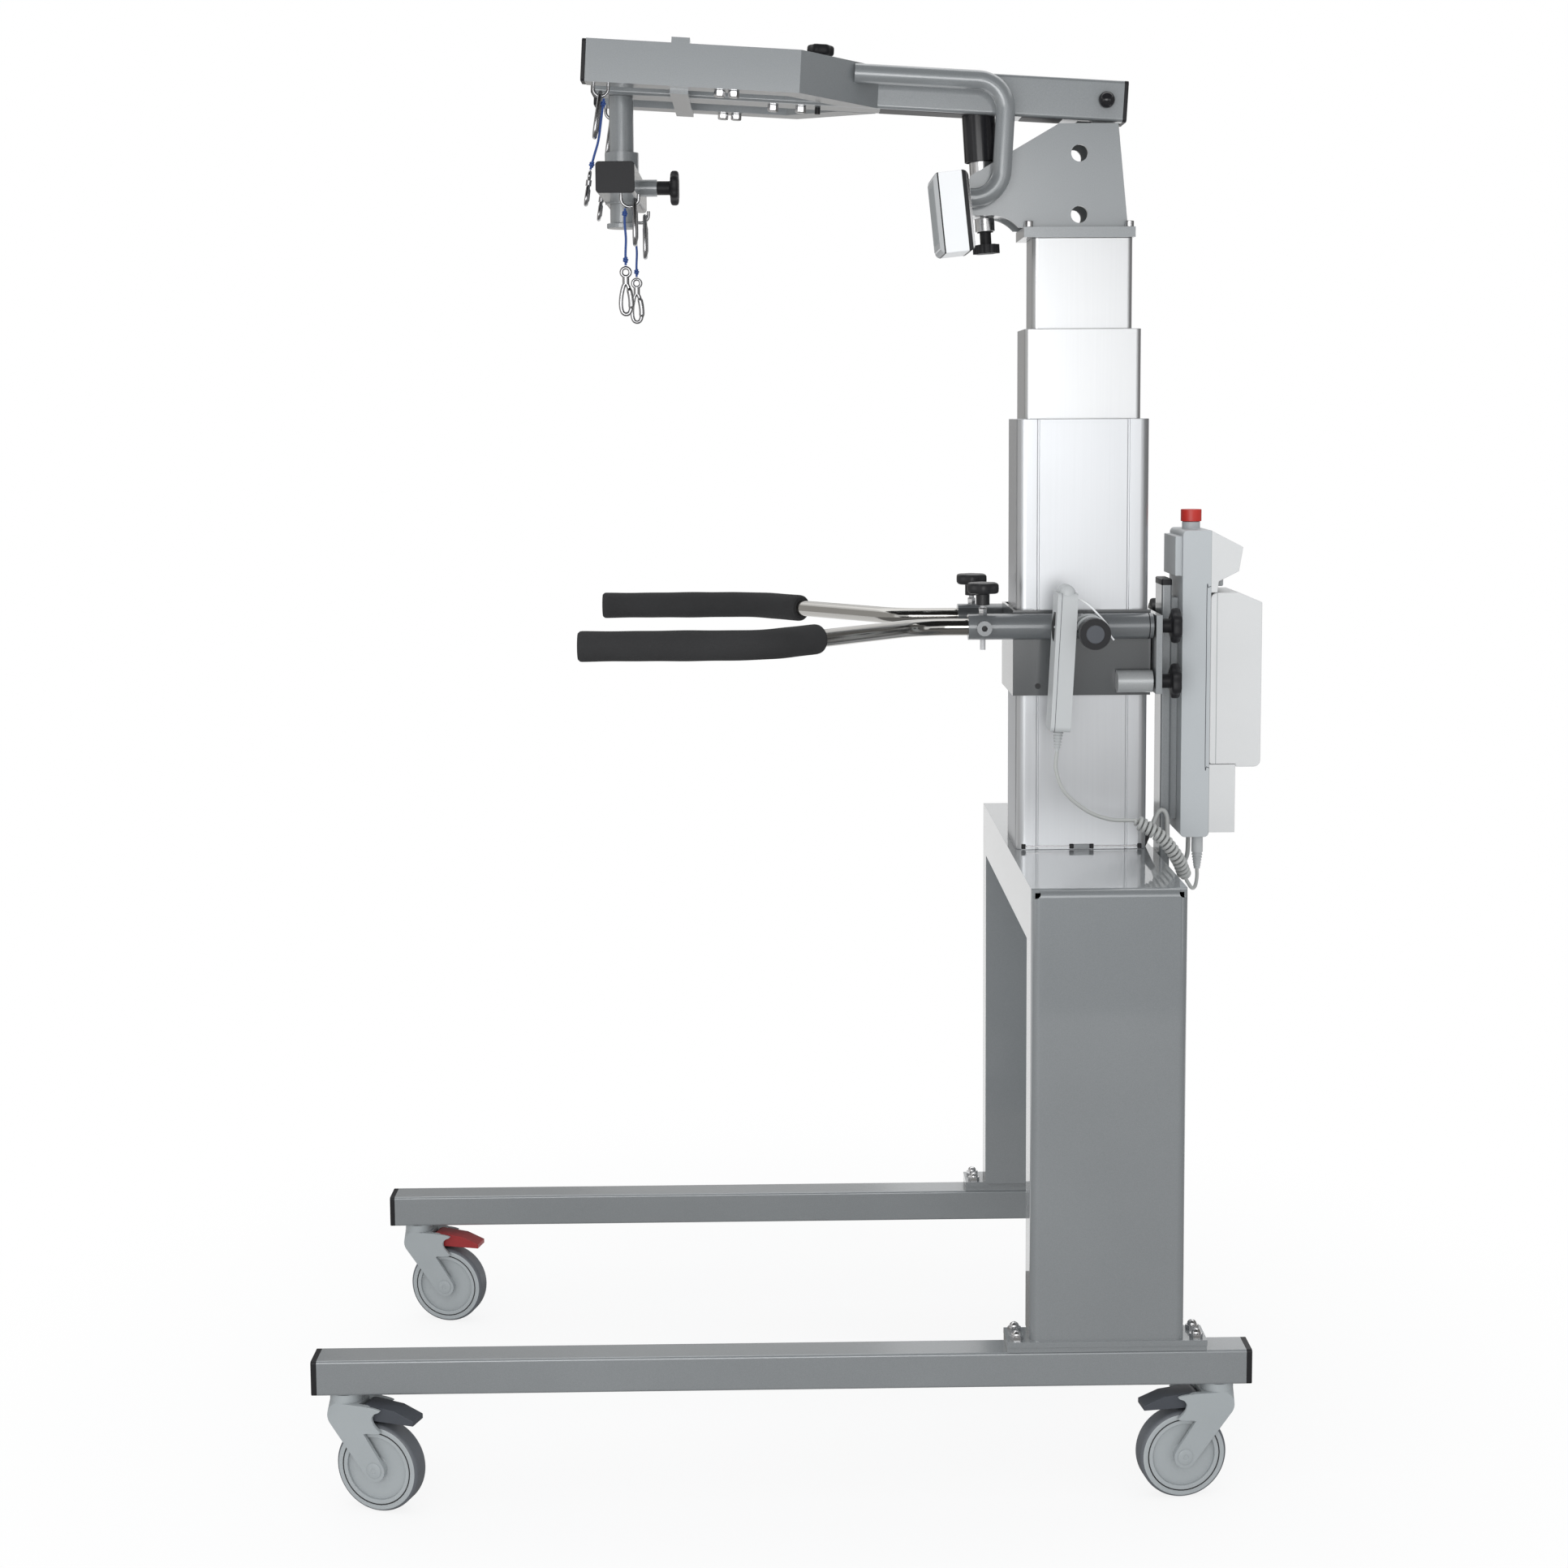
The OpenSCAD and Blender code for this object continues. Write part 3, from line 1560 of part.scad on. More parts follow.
module fork_cheek() {
    hull() {
        translate([castor_trail, 0, axle_z])
            rotate([90, 0, 0])
                cylinder(r = axle_eye_r, h = cheek_t, center = true, $fn = 32);
        translate([0, 0, -fork_collar_h - hood_front_r])
            rotate([90, 0, 0])
                cylinder(r = hood_front_r, h = cheek_t, center = true, $fn = 32);
    }
}

module fork_hood() {
    hood_z = -fork_collar_h;
    hood_r = -axle_z - wheel_d / 2 - hood_low_gap - fork_collar_h;
    hull() {
        translate([0, 0, hood_z - hood_front_r])
            rotate([90, 0, 0])
                cylinder(r = hood_front_r, h = 2 * fork_half, center = true, $fn = 32);
        translate([pedal_pivot_x, 0, hood_z - hood_r / 2])
            rotate([90, 0, 0])
                cylinder(d = hood_r, h = 2 * fork_half, center = true, $fn = 32);
        translate([0, 0, hood_z - overrun])
            cylinder(d = fork_collar_d, h = overrun, $fn = 32);
    }
}

module fork() {
    color(pale_plastic) {
        difference() {
            union() {
                for (s = [-1, 1])
                    translate([0, s * (fork_half - cheek_t / 2), 0])
                        fork_cheek();
                fork_hood();
            }
            translate([castor_trail, 0, axle_z])
                rotate([90, 0, 0])
                    cylinder(r = wheel_d / 2 + hood_low_gap, h = wheel_w + 2 * cheek_gap, center = true);
            translate([hood_back, -pedal_w / 2 - free_gap, -castor_h])
                cube([castor_h, pedal_w + 2 * free_gap, castor_h]);
            translate([pedal_pivot_x, 0, pedal_pivot_z])
                rotate([90, 0, 0])
                    cylinder(d = pedal_pin_d + 2 * run_fit, h = 2 * fork_half + overrun, center = true);
        }
        translate([0, 0, -fork_collar_h])
            cylinder(d = fork_collar_d, h = fork_collar_h - free_gap);
        translate([0, 0, -fork_collar_h])
            cylinder(d = stem_d, h = fork_collar_h + leg_size - 2 * leg_wall);
        translate([castor_trail, 0, axle_z])
            rotate([90, 0, 0])
                cylinder(d = axle_d, h = 2 * fork_half - cheek_t, center = true);
    }
}

module wheel() {
    r = wheel_d / 2;
    half = wheel_w / 2;
    hub_r = r * hub_r_share;
    color(pale_plastic)
        translate([castor_trail, 0, axle_z])
            rotate([90, 0, 0])
                rotate_extrude()
                    difference() {
                        union() {
                            translate([axle_d / 2 + run_fit, -half + hub_dish])
                                square([hub_r - axle_d / 2 - run_fit, wheel_w - 2 * hub_dish]);
                            translate([axle_d / 2 + run_fit, -half - cheek_gap / 2])
                                square([hub_boss_r - axle_d / 2 - run_fit, wheel_w + cheek_gap]);
                            translate([hub_r, -half])
                                square([r - tyre_r - hub_r, wheel_w]);
                            translate([r - tyre_r - overrun, -half + tyre_r])
                                square([tyre_r + overrun, wheel_w - 2 * tyre_r]);
                            for (s = [-1, 1])
                                translate([r - tyre_r, s * (half - tyre_r)])
                                    circle(tyre_r);
                        }
                        translate([-r, -wheel_w])
                            square([r + axle_d / 2 + run_fit, 2 * wheel_w]);
                    }
}

module pedal() {
    pivot = [pedal_pivot_x, pedal_pivot_z];
    tip_x = pedal_root / 2 + pedal_len;
    color(black) {
        across(pedal_w) {
            translate(pivot)
                circle(d = pedal_root);
            translate(pivot)
                polygon([
                    [0, pedal_root / 2], [tip_x * pedal_crest_share, pedal_root / 2 - pedal_drop],
                    [tip_x, pedal_tip - pedal_root / 2], [tip_x, -pedal_root / 2], [0, -pedal_root / 2]]);
        }
        translate([pivot[0], 0, pivot[1]])
            rotate([90, 0, 0])
                cylinder(d = pedal_pin_d, h = 2 * fork_half - cheek_t, center = true);
    }
}

module near_front_fork() { castor_frame(front_castor_x, -1, yaw_near_front) fork(); }
module near_front_wheel() { castor_frame(front_castor_x, -1, yaw_near_front) wheel(); }
module near_front_pedal() { castor_frame(front_castor_x, -1, yaw_near_front) pedal(); }
module far_front_fork() { castor_frame(front_castor_x, 1, yaw_far_front) fork(); }
module far_front_wheel() { castor_frame(front_castor_x, 1, yaw_far_front) wheel(); }
module far_front_pedal() { castor_frame(front_castor_x, 1, yaw_far_front) pedal(); }
module near_rear_fork() { castor_frame(rear_castor_x, -1, yaw_near_rear) fork(); }
module near_rear_wheel() { castor_frame(rear_castor_x, -1, yaw_near_rear) wheel(); }
module near_rear_pedal() { castor_frame(rear_castor_x, -1, yaw_near_rear) pedal(); }
module far_rear_fork() { castor_frame(rear_castor_x, 1, yaw_far_rear) fork(); }
module far_rear_wheel() { castor_frame(rear_castor_x, 1, yaw_far_rear) wheel(); }
module far_rear_pedal() { castor_frame(rear_castor_x, 1, yaw_far_rear) pedal(); }

base_legs();
leg_end_caps();
portal_frame();
portal_nuts();
column_outer();
lift_drive();
column_middle();
column_inner();
head_bracket();
head_bolts();
strut_rod();
strut_knob();
boom();
boom_caps();
boom_pivot_pin();
boom_knob();
yoke();
display_box();
strut_barrel();
hanging_post();
yoke_hooks();
yoke_cords();
spreader_bar();
spreader_caps();
spreader_knob();
spreader_hooks();
spreader_cords();
handrail_frame();
handrail_back_plate();
near_handlebar();
far_handlebar();
near_grip();
far_grip();
near_handle_knob();
far_handle_knob();
near_upper_clamp_knob();
far_upper_clamp_knob();
near_lower_clamp_knob();
far_lower_clamp_knob();
handset();
handset_rocker();
control_leads();
handset_coil();
handset_plug();
control_rail();
control_box();
battery_pack();
estop_button();
near_front_fork();
near_front_wheel();
near_front_pedal();
far_front_fork();
far_front_wheel();
far_front_pedal();
near_rear_fork();
near_rear_wheel();
near_rear_pedal();
far_rear_fork();
far_rear_wheel();
far_rear_pedal();
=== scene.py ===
# %% [markdown]
# # Dressing a body weight support system
# This machine takes part of a person's weight while they practise walking. A lifting column on a wheeled
# frame carries a boom, a harness hangs from the boom's yoke and spreader, and two padded handles give a
# hold. The CAD frame brings every rigid piece to its place. This lesson adds the cords, the soft grips,
# the hooks and the small trim, and then gives each surface the finish of the real one.

import bmesh
import bpy
import numpy as np
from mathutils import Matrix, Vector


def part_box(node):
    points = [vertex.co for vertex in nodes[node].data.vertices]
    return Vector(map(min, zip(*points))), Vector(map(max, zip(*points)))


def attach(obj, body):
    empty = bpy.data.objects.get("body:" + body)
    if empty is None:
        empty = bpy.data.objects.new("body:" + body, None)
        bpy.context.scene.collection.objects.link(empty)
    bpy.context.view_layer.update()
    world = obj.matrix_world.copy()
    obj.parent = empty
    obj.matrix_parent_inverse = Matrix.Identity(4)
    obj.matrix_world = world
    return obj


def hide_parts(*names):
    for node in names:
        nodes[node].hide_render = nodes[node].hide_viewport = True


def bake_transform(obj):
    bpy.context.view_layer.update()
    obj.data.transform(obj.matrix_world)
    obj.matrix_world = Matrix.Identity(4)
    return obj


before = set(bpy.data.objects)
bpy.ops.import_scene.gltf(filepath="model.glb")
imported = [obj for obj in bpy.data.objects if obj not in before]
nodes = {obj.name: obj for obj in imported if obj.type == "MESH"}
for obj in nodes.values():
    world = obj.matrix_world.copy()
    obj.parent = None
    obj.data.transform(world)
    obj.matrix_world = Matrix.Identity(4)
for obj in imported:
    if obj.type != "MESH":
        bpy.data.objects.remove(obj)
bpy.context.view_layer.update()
MM = 0.001

# %% [markdown]
# ## The camera
# A product photograph of this kind is taken from the side, from a little above the handles. A camera that
# only turns down to take in the wheels makes upright edges lean together, and one that only shifts its
# lens cuts off a raised boom in other views. This one does some of both, so the column stays near upright.

# %% Camera
TURN_DOWN, ROLL, YAW = 0.09763, 0.00536, -0.01889  # radians
scene = bpy.context.scene
scene.view_settings.view_transform = "Standard"
camera = bpy.data.objects.new("camera", bpy.data.cameras.new("camera"))
scene.collection.objects.link(camera)
scene.camera = camera
camera.location = (-0.0440, -3.4820, 1.5190)
camera.rotation_euler = (np.pi / 2 - TURN_DOWN, ROLL, YAW)
camera.data.lens = 53.17
camera.data.shift_x = -0.0181
camera.data.shift_y = -0.09
print("camera lens", camera.data.lens, "mm")

# %% [markdown]
# ## Surfaces from arrays
# Nearly every new piece here is a row of rings: a cord, a bent tube, a turned foot, a moulded cover. One
# function takes the rings as an array of points and makes the mesh, so that each piece only has to say
# where its points are. The alternative, stretching primitives by hand, would hide the sizes.

# %% Rings to mesh


def skin(name, *grids):
    """Mesh of one or more grids of points, ring by ring.

    A quad joins ring u to ring u + 1 at places v and v + 1, and v closes on itself. A grid whose last
    ring is its first one is a loop; any other is closed by a face on each end ring. The UV map holds
    the length along the grid in metres and the share of the way round.
    """
    points, faces, uvs, start = [], [], [], 0
    for grid in grids:
        count, sides = grid.shape[:2]
        ids = start + np.arange(count * sides).reshape(count, sides)
        after = np.roll(ids, -1, 1)
        quads = np.stack([ids[:-1], after[:-1], after[1:], ids[1:]], -1).reshape(-1, 4)
        middle = grid.mean(1)
        length = np.r_[0, np.cumsum(np.linalg.norm(np.diff(middle, axis=0), axis=1))]
        u = np.broadcast_to(length[:, None], (count, sides))
        v = np.broadcast_to(np.arange(sides) / sides, (count, sides))
        step = 1 / sides
        corners = [(u[:-1], v[:-1]), (u[:-1], v[:-1] + step), (u[1:], v[1:] + step), (u[1:], v[1:])]
        uv = np.stack([np.stack(c, -1) for c in corners], -2).reshape(-1, 2)
        rims = [] if np.allclose(grid[0], grid[-1]) else [ids[0, ::-1].tolist(), ids[-1].tolist()]
        points.append(grid.reshape(-1, 3))
        faces += quads.tolist() + rims
        uvs += [uv, np.zeros((len(rims) * sides, 2))]
        start += count * sides
    mesh = bpy.data.meshes.new(name)
    mesh.from_pydata(np.concatenate(points).tolist(), [], faces)
    mesh.uv_layers.new(name="UVMap").data.foreach_set("uv", np.concatenate(uvs).ravel())
    work = bmesh.new()
    work.from_mesh(mesh)
    bmesh.ops.remove_doubles(work, verts=work.verts, dist=1e-6)
    work.to_mesh(mesh)
    work.free()
    mesh.shade_smooth()
    mesh.set_sharp_from_angle(angle=np.radians(38))
    piece = bpy.data.objects.new(name, mesh)
    scene.collection.objects.link(piece)
    return piece


def unit(directions):
    """The same directions, each one divided by its length."""
    directions = np.asarray(directions, float)
    return directions / np.linalg.norm(directions, axis=-1, keepdims=True)


def carried_sides(path):
    """Two sides along a path: one is the last ring's squared to the tangent, the other crosses both."""
    tangent = unit(np.gradient(path, axis=0))
    side = np.empty_like(path)
    last = np.eye(3)[np.abs(tangent[0]).argmin()]
    for ring, ahead in enumerate(tangent):
        last = unit(last - ahead * (last @ ahead))
        side[ring] = last
    return side, np.cross(tangent, side)


def tube(path, radius, sides=12, loop=False):
    """Rings round a path: path point + radius times (cosine of one side + sine of the other)."""
    path = np.asarray(path, float)
    if loop:
        path = np.concatenate([path[-2:-1], path, path[1:2]])
    one, two = carried_sides(path)
    turn = np.arange(sides) * 2 * np.pi / sides
    ring = np.cos(turn)[None, :, None] * one[:, None] + np.sin(turn)[None, :, None] * two[:, None]
    reach = np.broadcast_to(np.asarray(radius, float), len(path) - 2 * loop)
    ring, path = (ring[1:-1], path[1:-1]) if loop else (ring, path)
    grid = path[:, None] + reach[:, None, None] * ring
    if loop:
        grid[-1] = grid[0]
    return grid


def easy_line(points, steps=8):
    """Catmull-Rom curve through the points.

    Between b and c, with a before and d after, the point at t is half of
    2b + (c - a)t + (2a - 5b + 4c - d)t^2 + (3b - a - 3c + d)t^3.
    """
    p = np.asarray(points, float)
    p = np.vstack([2 * p[0] - p[1], p, 2 * p[-1] - p[-2]])
    a, b, c, d = (p[i : len(p) - 3 + i, None] for i in range(4))
    t = np.linspace(0, 1, steps, endpoint=False)[None, :, None]
    q = 2 * b + (c - a) * t + (2 * a - 5 * b + 4 * c - d) * t**2 + (3 * b - a - 3 * c + d) * t**3
    return np.vstack([q.reshape(-1, 3) / 2, p[-2]])


def run_length(path):
    """Sum of the steps between the path's points."""
    return float(np.linalg.norm(np.diff(path, axis=0), axis=1).sum())


def even_steps(path, step):
    """The same path with points a fixed step apart, found by length."""
    walked = np.r_[0, np.cumsum(np.linalg.norm(np.diff(path, axis=0), axis=1))]
    places = np.linspace(0, walked[-1], max(2, int(round(walked[-1] / step)) + 1))
    return np.stack([np.interp(places, walked, path[:, k]) for k in range(3)], 1)


print("helpers ready: skin, tube, easy_line, even_steps")

# %% [markdown]
# ## The handset's coiled cord
# The handset hangs on the rail, and its grey cord falls to a stretch of tight curls that ends in a plug
# under the control box. A cord could be a bevelled curve, but its curls follow a sagging line, so the
# middle line is worked out: a plain lead, then a helix round a curved axis, then a plain tail.

# %% Handset cord
lead = easy_line(MM * np.array([
    [370, -168, 1034], [369, -168, 1006], [382, -167, 974], [414, -162, 946], [448, -156, 932],
    [482, -151, 929]]))
curl_axis = even_steps(easy_line(MM * np.array([
    [487, -150, 929], [524, -154, 905], [550, -148, 872], [566, -128, 839]]), 40), 0.0005)
tail = easy_line(MM * np.array([
    [569, -122, 833], [580, -101, 818], [590, -75, 815], [597, -52, 824], [599, -40, 838]]))
CURLS, CURL_RADIUS, CORD_RADIUS, CORD_STEP = 18, 8 * MM, 2.8 * MM, 2.4 * MM


def curls(axis, turns, radius):
    """Helix round an axis: axis + radius times (cos(a) out + sin(a) side), a growing evenly.

    The radius grows from nothing over the first turn and shrinks again over the last one.
    """
    share = np.linspace(0, 1, len(axis))
    ahead = unit(np.gradient(axis, axis=0))
    out = unit(np.cross(ahead, [0, 1, 0]))
    angle = (2 * np.pi * turns * share)[:, None]
    grow = np.clip(np.minimum(share, 1 - share) * turns, 0, 1)[:, None]
    return axis + radius * grow * (np.cos(angle) * out + np.sin(angle) * np.cross(ahead, out))


cord_path = even_steps(np.vstack([lead, curls(curl_axis, CURLS, CURL_RADIUS), tail]), CORD_STEP)
handset_cord = skin("handset_cord", tube(cord_path, CORD_RADIUS, 10))
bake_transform(handset_cord)
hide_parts("control_leads", "handset_coil")
print("handset cord:", round(run_length(cord_path), 3), "m in", len(cord_path), "rings")

# %% [markdown]
# ## The motor lead and the harness cords
# A thicker lead arches from the lift motor's gland into the control box. Four short blue cords tie the
# harness hooks: two hang from the yoke and two from the spreader. Each gets a knot at both ends, which
# is a short helix of the same cord, pulled a little thinner, because a plain bead would not look tied.

# %% Motor lead
MOTOR_RADIUS = 3.5 * MM
motor_path = even_steps(easy_line(MM * np.array([
    [530, -46, 903], [538, -46, 922], [546, -46, 926], [552, -46, 915], [553, -46, 885], [560, -42, 852],
    [576, -25, 836], [590, -5, 848], [593, 2, 870], [593, 3, 889]])), 4 * MM)
motor_lead = skin("motor_lead", tube(motor_path, MOTOR_RADIUS, 14))
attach(motor_lead, "frame")
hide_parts("control_leads")
print("motor lead:", round(run_length(motor_path), 3), "m")

# %% Harness cords and their knots
SIDES = {"near": -1, "far": 1}
BLUE_RADIUS, KNOT_RADIUS = 1.75 * MM, 1.6 * MM


def tilted(degrees):
    """Axes turned about Y: the rows are (cos, 0, -sin), (0, 1, 0) and (sin, 0, cos)."""
    a = np.radians(degrees)
    return np.array([[np.cos(a), 0, -np.sin(a)], [0, 1, 0], [np.sin(a), 0, np.cos(a)]])


YOKE_AXES, BOOM_AXES = tilted(8.3), tilted(3.3)


def yoke_place(points, side):
    """Points of a yoke chain, given in mm along its lean, in the frame's metres."""
    return MM * (np.asarray(points, float) @ YOKE_AXES + [-279.06, side * 126, 1980.66])


def spreader_place(points, side):
    """Points of a spreader chain, given in mm from the bar's underside, in the frame's metres."""
    return MM * (np.asarray(points, float) + [-239, side * 138, 1834])


def knot(middle, ahead, reach=2.6 * MM, wraps=2.4):
    """A cord wrapped on itself: a helix of a few turns round the cord's own line."""
    along = unit(ahead)
    one = unit(np.cross(along, [0.3, 0.9, 0.1]))
    t = np.linspace(-0.5, 0.5, 40)[:, None]
    turn = 2 * np.pi * wraps * t
    swell = reach * np.cos(t * 2.2)
    return middle + along * t * 7 * MM + swell * (np.cos(turn) * one + np.sin(turn) * np.cross(along, one))


CHAINS = {
    "yoke": ("boom", yoke_place, "yoke_cords",
             [[6, 0, -10.2], [6, 0, -34], [6, 0, -68], [3, 0, -90], [0, 0, -111.6]]),
    "spreader": ("spreader", spreader_place, "spreader_cords",
                 [[-7, 0, -19.5], [-7.6, 0, -40], [-6.2, 0, -62], [-7, 0, -82], [-7, 0, -99.6]]),
}
blue_cords = []
for chain, (body, place, solid, route) in CHAINS.items():
    for side, sign in SIDES.items():
        path = even_steps(place(easy_line(route), sign), 2.5 * MM)
        ends = [(path[3], path[4] - path[3]), (path[-4], path[-4] - path[-5])]
        ties = skin(f"{side}_{chain}_knots", *(tube(knot(m, a), KNOT_RADIUS, 8) for m, a in ends))
        cord = skin(f"{side}_{chain}_cord", tube(path, BLUE_RADIUS, 10))
        for piece in (cord, ties):
            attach(piece, body)
            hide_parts(solid)
        blue_cords += [cord, ties]
print("blue cords:", len(blue_cords) // 2)

# %% [markdown]
# ## Stage and light
# The object stands on a plain white sweep. The floor is part white paint and part soft glow to the
# camera, so it stays white and still holds a shadow; further out the glow takes over, and the floor runs
# into the backdrop without an edge. A wide soft lamp overhead lights the tops of the tubes, and a large
# bank in front lights their sides.

# %% Shader wires


class Wire:
    """A socket of a node tree; arithmetic on it adds Math nodes."""

    def __init__(self, tree, socket=None):
        self.tree, self.socket = tree, socket

    def node(self, kind, settings=None, sockets=None, out=0):
        """Add a node: its settings first, then a value or a link for each named or numbered input."""
        made = self.tree.nodes.new("ShaderNode" + kind)
        for key, value in (settings or {}).items():
            setattr(made, key, value)
        for key, value in (sockets or {}).items():
            if isinstance(value, Wire):
                self.tree.links.new(value.socket, made.inputs[key])
            else:
                made.inputs[key].default_value = value
        return Wire(self.tree, made.outputs[out] if len(made.outputs) else None)

    def math(self, operation, first, second):
        return self.node("Math", {"operation": operation}, {0: first, 1: second})

    def __add__(self, other):
        return self.math("ADD", self, other)

    def __sub__(self, other):
        return self.math("SUBTRACT", self, other)

    def __rsub__(self, other):
        return self.math("SUBTRACT", other, self)

    def __mul__(self, other):
        return self.math("MULTIPLY", self, other)

    def __gt__(self, other):
        return self.math("GREATER_THAN", self, other)

    def __lt__(self, other):
        return self.math("LESS_THAN", self, other)

    def near(self, place, reach):
        """1 where this value is within reach of place, else 0."""
        return self.math("LESS_THAN", self.math("ABSOLUTE", self - place, 0.0), reach)

    def mix(self, low, high):
        """The colour low where this value is 0, and high where it is 1."""
        return self.node("Mix", {"data_type": "RGBA"}, {0: self, 6: low, 7: high}, out=2)


def white_seen(tree):
    """1 for camera, glossy and transmission rays, which are shown plain white."""
    wire = Wire(tree)
    rays = [wire.node("LightPath", out=k) for k in (0, 3, 6)]
    return wire.math("MAXIMUM", wire.math("MAXIMUM", rays[0], rays[1]), rays[2])


print("wires ready")

# %% World, floor and lamps


def bare_material(name):
    """A new material with an empty node tree."""
    material = bpy.data.materials.new(name)
    material.use_nodes = True
    material.node_tree.nodes.clear()
    return material


def stage_sheet(name, corners, paint):
    """A flat sheet of the studio, which is no part of the object."""
    mesh = bpy.data.meshes.new(name)
    mesh.from_pydata(corners, [], [(0, 1, 2, 3)])
    mesh.materials.append(paint)
    made = bpy.data.objects.new(name, mesh)
    scene.collection.objects.link(made)
    return made


world = bpy.data.worlds.new("studio")
scene.world = world
world.use_nodes = True
world.node_tree.nodes.clear()
seen = white_seen(world.node_tree)
plain = seen.node("Background", sockets={"Color": (1, 1, 1, 1), "Strength": 1.0})
fill = seen.node("Background", sockets={"Color": (0.96, 0.98, 1, 1), "Strength": 0.72})
sky = seen.node("MixShader", sockets={0: seen, 1: fill, 2: plain})
seen.node("OutputWorld", sockets={"Surface": sky})

floor_paint = bare_material("floor_paint")
seen = white_seen(floor_paint.node_tree)
matt = seen.node("BsdfDiffuse", sockets={"Color": (0.82, 0.82, 0.82, 1)})
glow = seen.node("Emission", sockets={"Color": (1, 1, 1, 1), "Strength": 1.0})
away = seen.node("VectorMath", {"operation": "LENGTH"}, {0: seen.node("TexCoord", out=3)}, out=1)
fade = seen.node("MapRange", {"interpolation_type": "SMOOTHSTEP"}, {0: away, 1: 0.5, 2: 1.6, 3: 0.84, 4: 1.0})
sheet = seen.node("MixShader", sockets={0: seen * fade, 1: matt, 2: glow})
seen.node("OutputMaterial", sockets={"Surface": sheet})

stage_sheet("floor", [(-12, -12, 0), (12, -12, 0), (12, 12, 0), (-12, 12, 0)], floor_paint)


def lamp(name, kind, strength, place, turn, **shape):
    """A soft lamp: SUN for even light from far away, AREA for a bank whose light falls off."""
    data = bpy.data.lights.new(name, kind)
    data.energy = strength
    for key, value in shape.items():
        setattr(data, key, value)
    made = bpy.data.objects.new(name, data)
    made.location, made.rotation_euler = place, np.radians(turn)
    scene.collection.objects.link(made)


lamp("ceiling_bank", "SUN", 0.9, (0, 0, 4), (4, 0, 0), angle=np.radians(100))
lamp("front_bank", "AREA", 76, (-0.7, -4.5, 1.3), (90, 0, -6), size=3.0)

# %% [markdown]
# ## Dark cards for bright metal
# Chrome shows only what stands round it, and in an all-white room it would vanish. Photographers hold up
# black cards. These cards are seen by reflections alone: long ones in front draw dark streaks along the
# handlebars and hooks, a high one keeps white off the boom's lacquer, and tall ones at both ends darken
# the column's rounded corners.

# %% Cards
CARD_WARMTH = np.array([1, 0.98, 0.95])
CARDS = {  # grey level, then the four corners
    "low_card": (0.04, [(-3, -3.0, 0.004), (3, -3.0, 0.004), (3, -3.4, 0.84), (-3, -3.4, 0.84)]),
    "floor_card": (0.22, [(-3, -3.0, 0.004), (3, -3.0, 0.004), (3, 0.5, 0.004), (-3, 0.5, 0.004)]),
    "high_card": (0.02, [(-3, -2.8, 2.25), (3, -2.8, 2.25), (3, 0.3, 4.2), (-3, 0.3, 4.2)]),
    "left_card": (0.50, [(-2.6, -1.8, 0.1), (-2.6, -1.8, 3), (-2.6, 2.5, 3), (-2.6, 2.5, 0.1)]),
    "left_wing": (0.06, [(-2.6, 2.5, 0.1), (-2.6, 2.5, 3), (-0.6, 3.4, 3), (-0.6, 3.4, 0.1)]),
    "back_card": (0.42, [(-1.6, 3.0, 1.05), (-1.6, 3.0, 2.4), (0.3, 3.4, 2.4), (0.3, 3.4, 1.05)]),
    "right_wing": (0.06, [(2.4, 2.5, 0.1), (2.4, 2.5, 3), (2.1, 3.0, 3), (2.1, 3.0, 0.1)]),
    "right_card": (0.16, [(2.4, -1.8, 0.1), (2.4, -1.8, 3), (2.4, 2.5, 3), (2.4, 2.5, 0.1)]),
}
for name, (grey, corners) in CARDS.items():
    card_paint = bare_material(name)
    tone = Wire(card_paint.node_tree).node("Emission", sockets={"Color": (*grey * CARD_WARMTH, 1)})
    tone.node("OutputMaterial", sockets={"Surface": tone})
    card = stage_sheet(name, corners, card_paint)
    card.visible_camera = card.visible_diffuse = card.visible_shadow = False
print("cards:", list(CARDS))

# %% [markdown]
# ## Finishes
# Each real surface has a colour that clouds a little, a fine fleck, and a grain that breaks its shine.
# One recipe gives these three from noise on Object coordinates, in metres, so the grain has the same
# size on every piece. A finish then only states its colour, shine and grain, and a few add masks.

# %% The recipe


